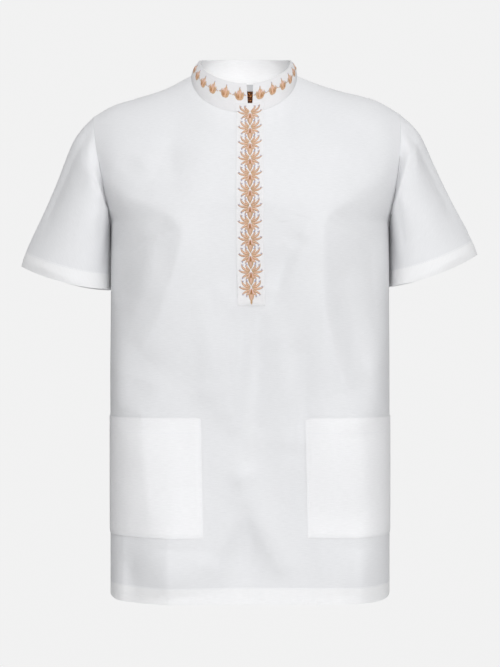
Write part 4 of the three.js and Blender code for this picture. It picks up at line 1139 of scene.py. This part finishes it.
def stitch_line(bits, points, normals, pitch=3.2, long=2.2, radius=0.28):
    """Short raised stitches along a line of points on the cloth."""
    length = path_length(points)

    def at(values, distance):
        return np.array([np.interp(distance, length, values[:, k]) for k in range(3)])

    for start in np.arange(pitch / 2, length[-1] - long, pitch):
        first, last = at(points, start), at(points, start + long)
        normal = unit(at(normals, start))
        aside = np.cross(unit(last - first), normal)
        verts = []
        for centre, scale in ((first, 0.35), ((first + last) / 2, 1.0), (last, 0.35)):
            for angle in np.radians((0, 60, 120, 180)):
                verts.append(centre + radius * (aside * math.cos(angle) + normal * scale * math.sin(angle)))
        faces = [(r * 4 + c, r * 4 + c + 1, r * 4 + c + 5, r * 4 + c + 4) for r in range(2) for c in range(3)]
        bits.add(np.array(verts), faces, THREAD_COLOR)


def sew():
    bits = Bits()

    def along(lay, u, v, count, **stitch):
        """A seam on which u or v runs from one value to another and the other one stays."""
        u, v = (np.linspace(*(w if np.ndim(w) else (w, w)), count) for w in (u, v))
        stitch_line(bits, *lay.at(u, v), **stitch)

    for panel in (FRONT, BACK):
        row = int(np.argmin(np.abs(low - (HEM_Z + HEM_TURN - HEM_STITCH))))
        stitch_line(bits, panel["grid"][row], panel["normals"][row])
    for _, rings, normals in SLEEVE_PARTS.values():
        ring = len(rings) - CUFF_ROWS - 1
        stitch_line(bits, *(np.concatenate([rows[ring], rows[ring][:1]]) for rows in (rings, normals)))
    for _, lay in POCKETS.values():
        u0, u1, v0, v1 = lay.us[0], lay.us[-1] - 1, lay.vs[0], lay.vs[-1]
        along(lay, u0 + POCKET_STITCH, (v0 + POCKET_STITCH, v1 - 1), 60)
        along(lay, (u0 + POCKET_STITCH, u1), v0 + POCKET_STITCH, 60)
        along(lay, (u0 + 1, u1), v1 - POCKET_HEM, 60)
    edge = PLACKET_HALF - PLACKET_STITCH
    for u in (-edge, edge):
        along(PLACKET_LAY, u, (PLACKET_END_Z + 2, -58), 200, **FINE_STITCH)
    along(PLACKET_LAY, (-edge, edge), PLACKET_END_Z + 1.8, 20, **FINE_STITCH)
    for v in COLLAR_STITCHES:
        along(COLLAR_LAY, (1, COLLAR_LENGTH[-1] - 1), v, 240, **FINE_STITCH)
    return bits.make("stitches", SEWING)


STITCHES = sew()

# ---- what each piece is ----
PIECES = (
    (FRONT_CLOTH, ("front",), "body_cotton", (0.60, 0.80), 0.44),
    (BACK_CLOTH, ("back",), "body_cotton", (0.57, 0.81), 0.43),
    (SLEEVE_PARTS["left"][0], ("sleeve_left",), "body_cotton", (0.44, 0.27), 0.0665),
    (SLEEVE_PARTS["right"][0], ("sleeve_right",), "body_cotton", (0.44, 0.27), 0.0645),
    (COLLAR, ("collar",), "double_cotton", (0.44, 0.04), None),
    (PLACKET, ("placket",), "embroidered_cotton", (0.04, 0.31), None),
    (UNDER, ("placket_under",), "body_cotton", (0.034, 0.29), None),
    (POCKETS["left"][0], ("pocket_left",), "double_cotton", (0.205, 0.175), None),
    (POCKETS["right"][0], ("pocket_right",), "double_cotton", (0.195, 0.175), None),
    (LABEL, ("label",), "label_tape", (0.05, 0.038), None),
)
for piece, nodes, slot, flat, cut in PIECES:
    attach(piece, "root")
    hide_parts(*nodes)
for piece, slot in (
    (PLACKET_WORK, "embroidered_cotton"), (COLLAR_WORK, "embroidered_cotton"), (STITCHES, "body_cotton"),
):
    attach(piece, "root")


# ---- studio ----
def plane(name, centre, size, axis, material):
    mesh = bpy.data.meshes.new(name)
    w, h = size[0] / 2, size[1] / 2
    corners = [(-w, -h), (w, -h), (w, h), (-w, h)]
    if axis == "z":
        verts = [(centre[0] + a, centre[1] + b, centre[2]) for a, b in corners]
    else:
        verts = [(centre[0] + a, centre[1], centre[2] + b) for a, b in corners]
    mesh.from_pydata(verts, [], [(0, 1, 2, 3)])
    return link(name, mesh, material)


FLOOR = plane("floor", (0, 0, -1.35), (5, 3.4), "z", plain("floor_paint", (0.8, 0.8, 0.8)))
BACKDROP_PAINT = plain("backdrop_paint", (0.0, 0.0, 0.0), 1.0, 0.879)
BACKDROP = plane("backdrop", (0, 6.0, -0.3), (13.8, 10.4), "y", BACKDROP_PAINT)


def area(name, location, target, size, power):
    light = bpy.data.lights.new(name, "AREA")
    light.shape, light.size, light.size_y, light.energy = "RECTANGLE", size[0], size[1], power
    obj = add(name, light)
    obj.location = location
    obj.rotation_euler = (Vector(target) - Vector(location)).to_track_quat("-Z", "Y").to_euler()
    return obj


area("key", (0.2, -4.4, 3.5), (0, 0, -0.4), (1.2, 1.2), 232)
area("front", (0.2, -5.0, -0.4), (0, 0, -0.5), (1.6, 1.6), 66)
area("right", (4.0, -3.4, 0.0), (0, 0, -0.4), (1.6, 2.4), 50)
area("left", (-4.0, -3.0, 0.2), (0, 0, -0.4), (1.6, 2.4), 22)
area("top", (0.0, -0.5, 3.4), (0, 0, -0.2), (0.8, 0.8), 8)
INNER_LAMP = area("inside_neck", (0, -0.01, -0.11), (0, 0.03, 0.05), (0.07, 0.07), 0.07)
INNER_LAMP.visible_camera = False

world = bpy.data.worlds.new("studio")
world.use_nodes = True
background = world.node_tree.nodes["Background"].inputs
background["Color"].default_value = (1, 1, 1, 1)
background["Strength"].default_value = 0.2
bpy.context.scene.world = world
bpy.context.scene.view_settings.view_transform = "Standard"

camera_data = bpy.data.cameras.new("camera")
camera_data.lens, camera_data.sensor_width = 88.2, 36
camera = add("camera", camera_data)
camera.location = (0, -2.5, -0.388)
camera.rotation_euler = (math.pi / 2, 0, 0)
bpy.context.scene.camera = camera
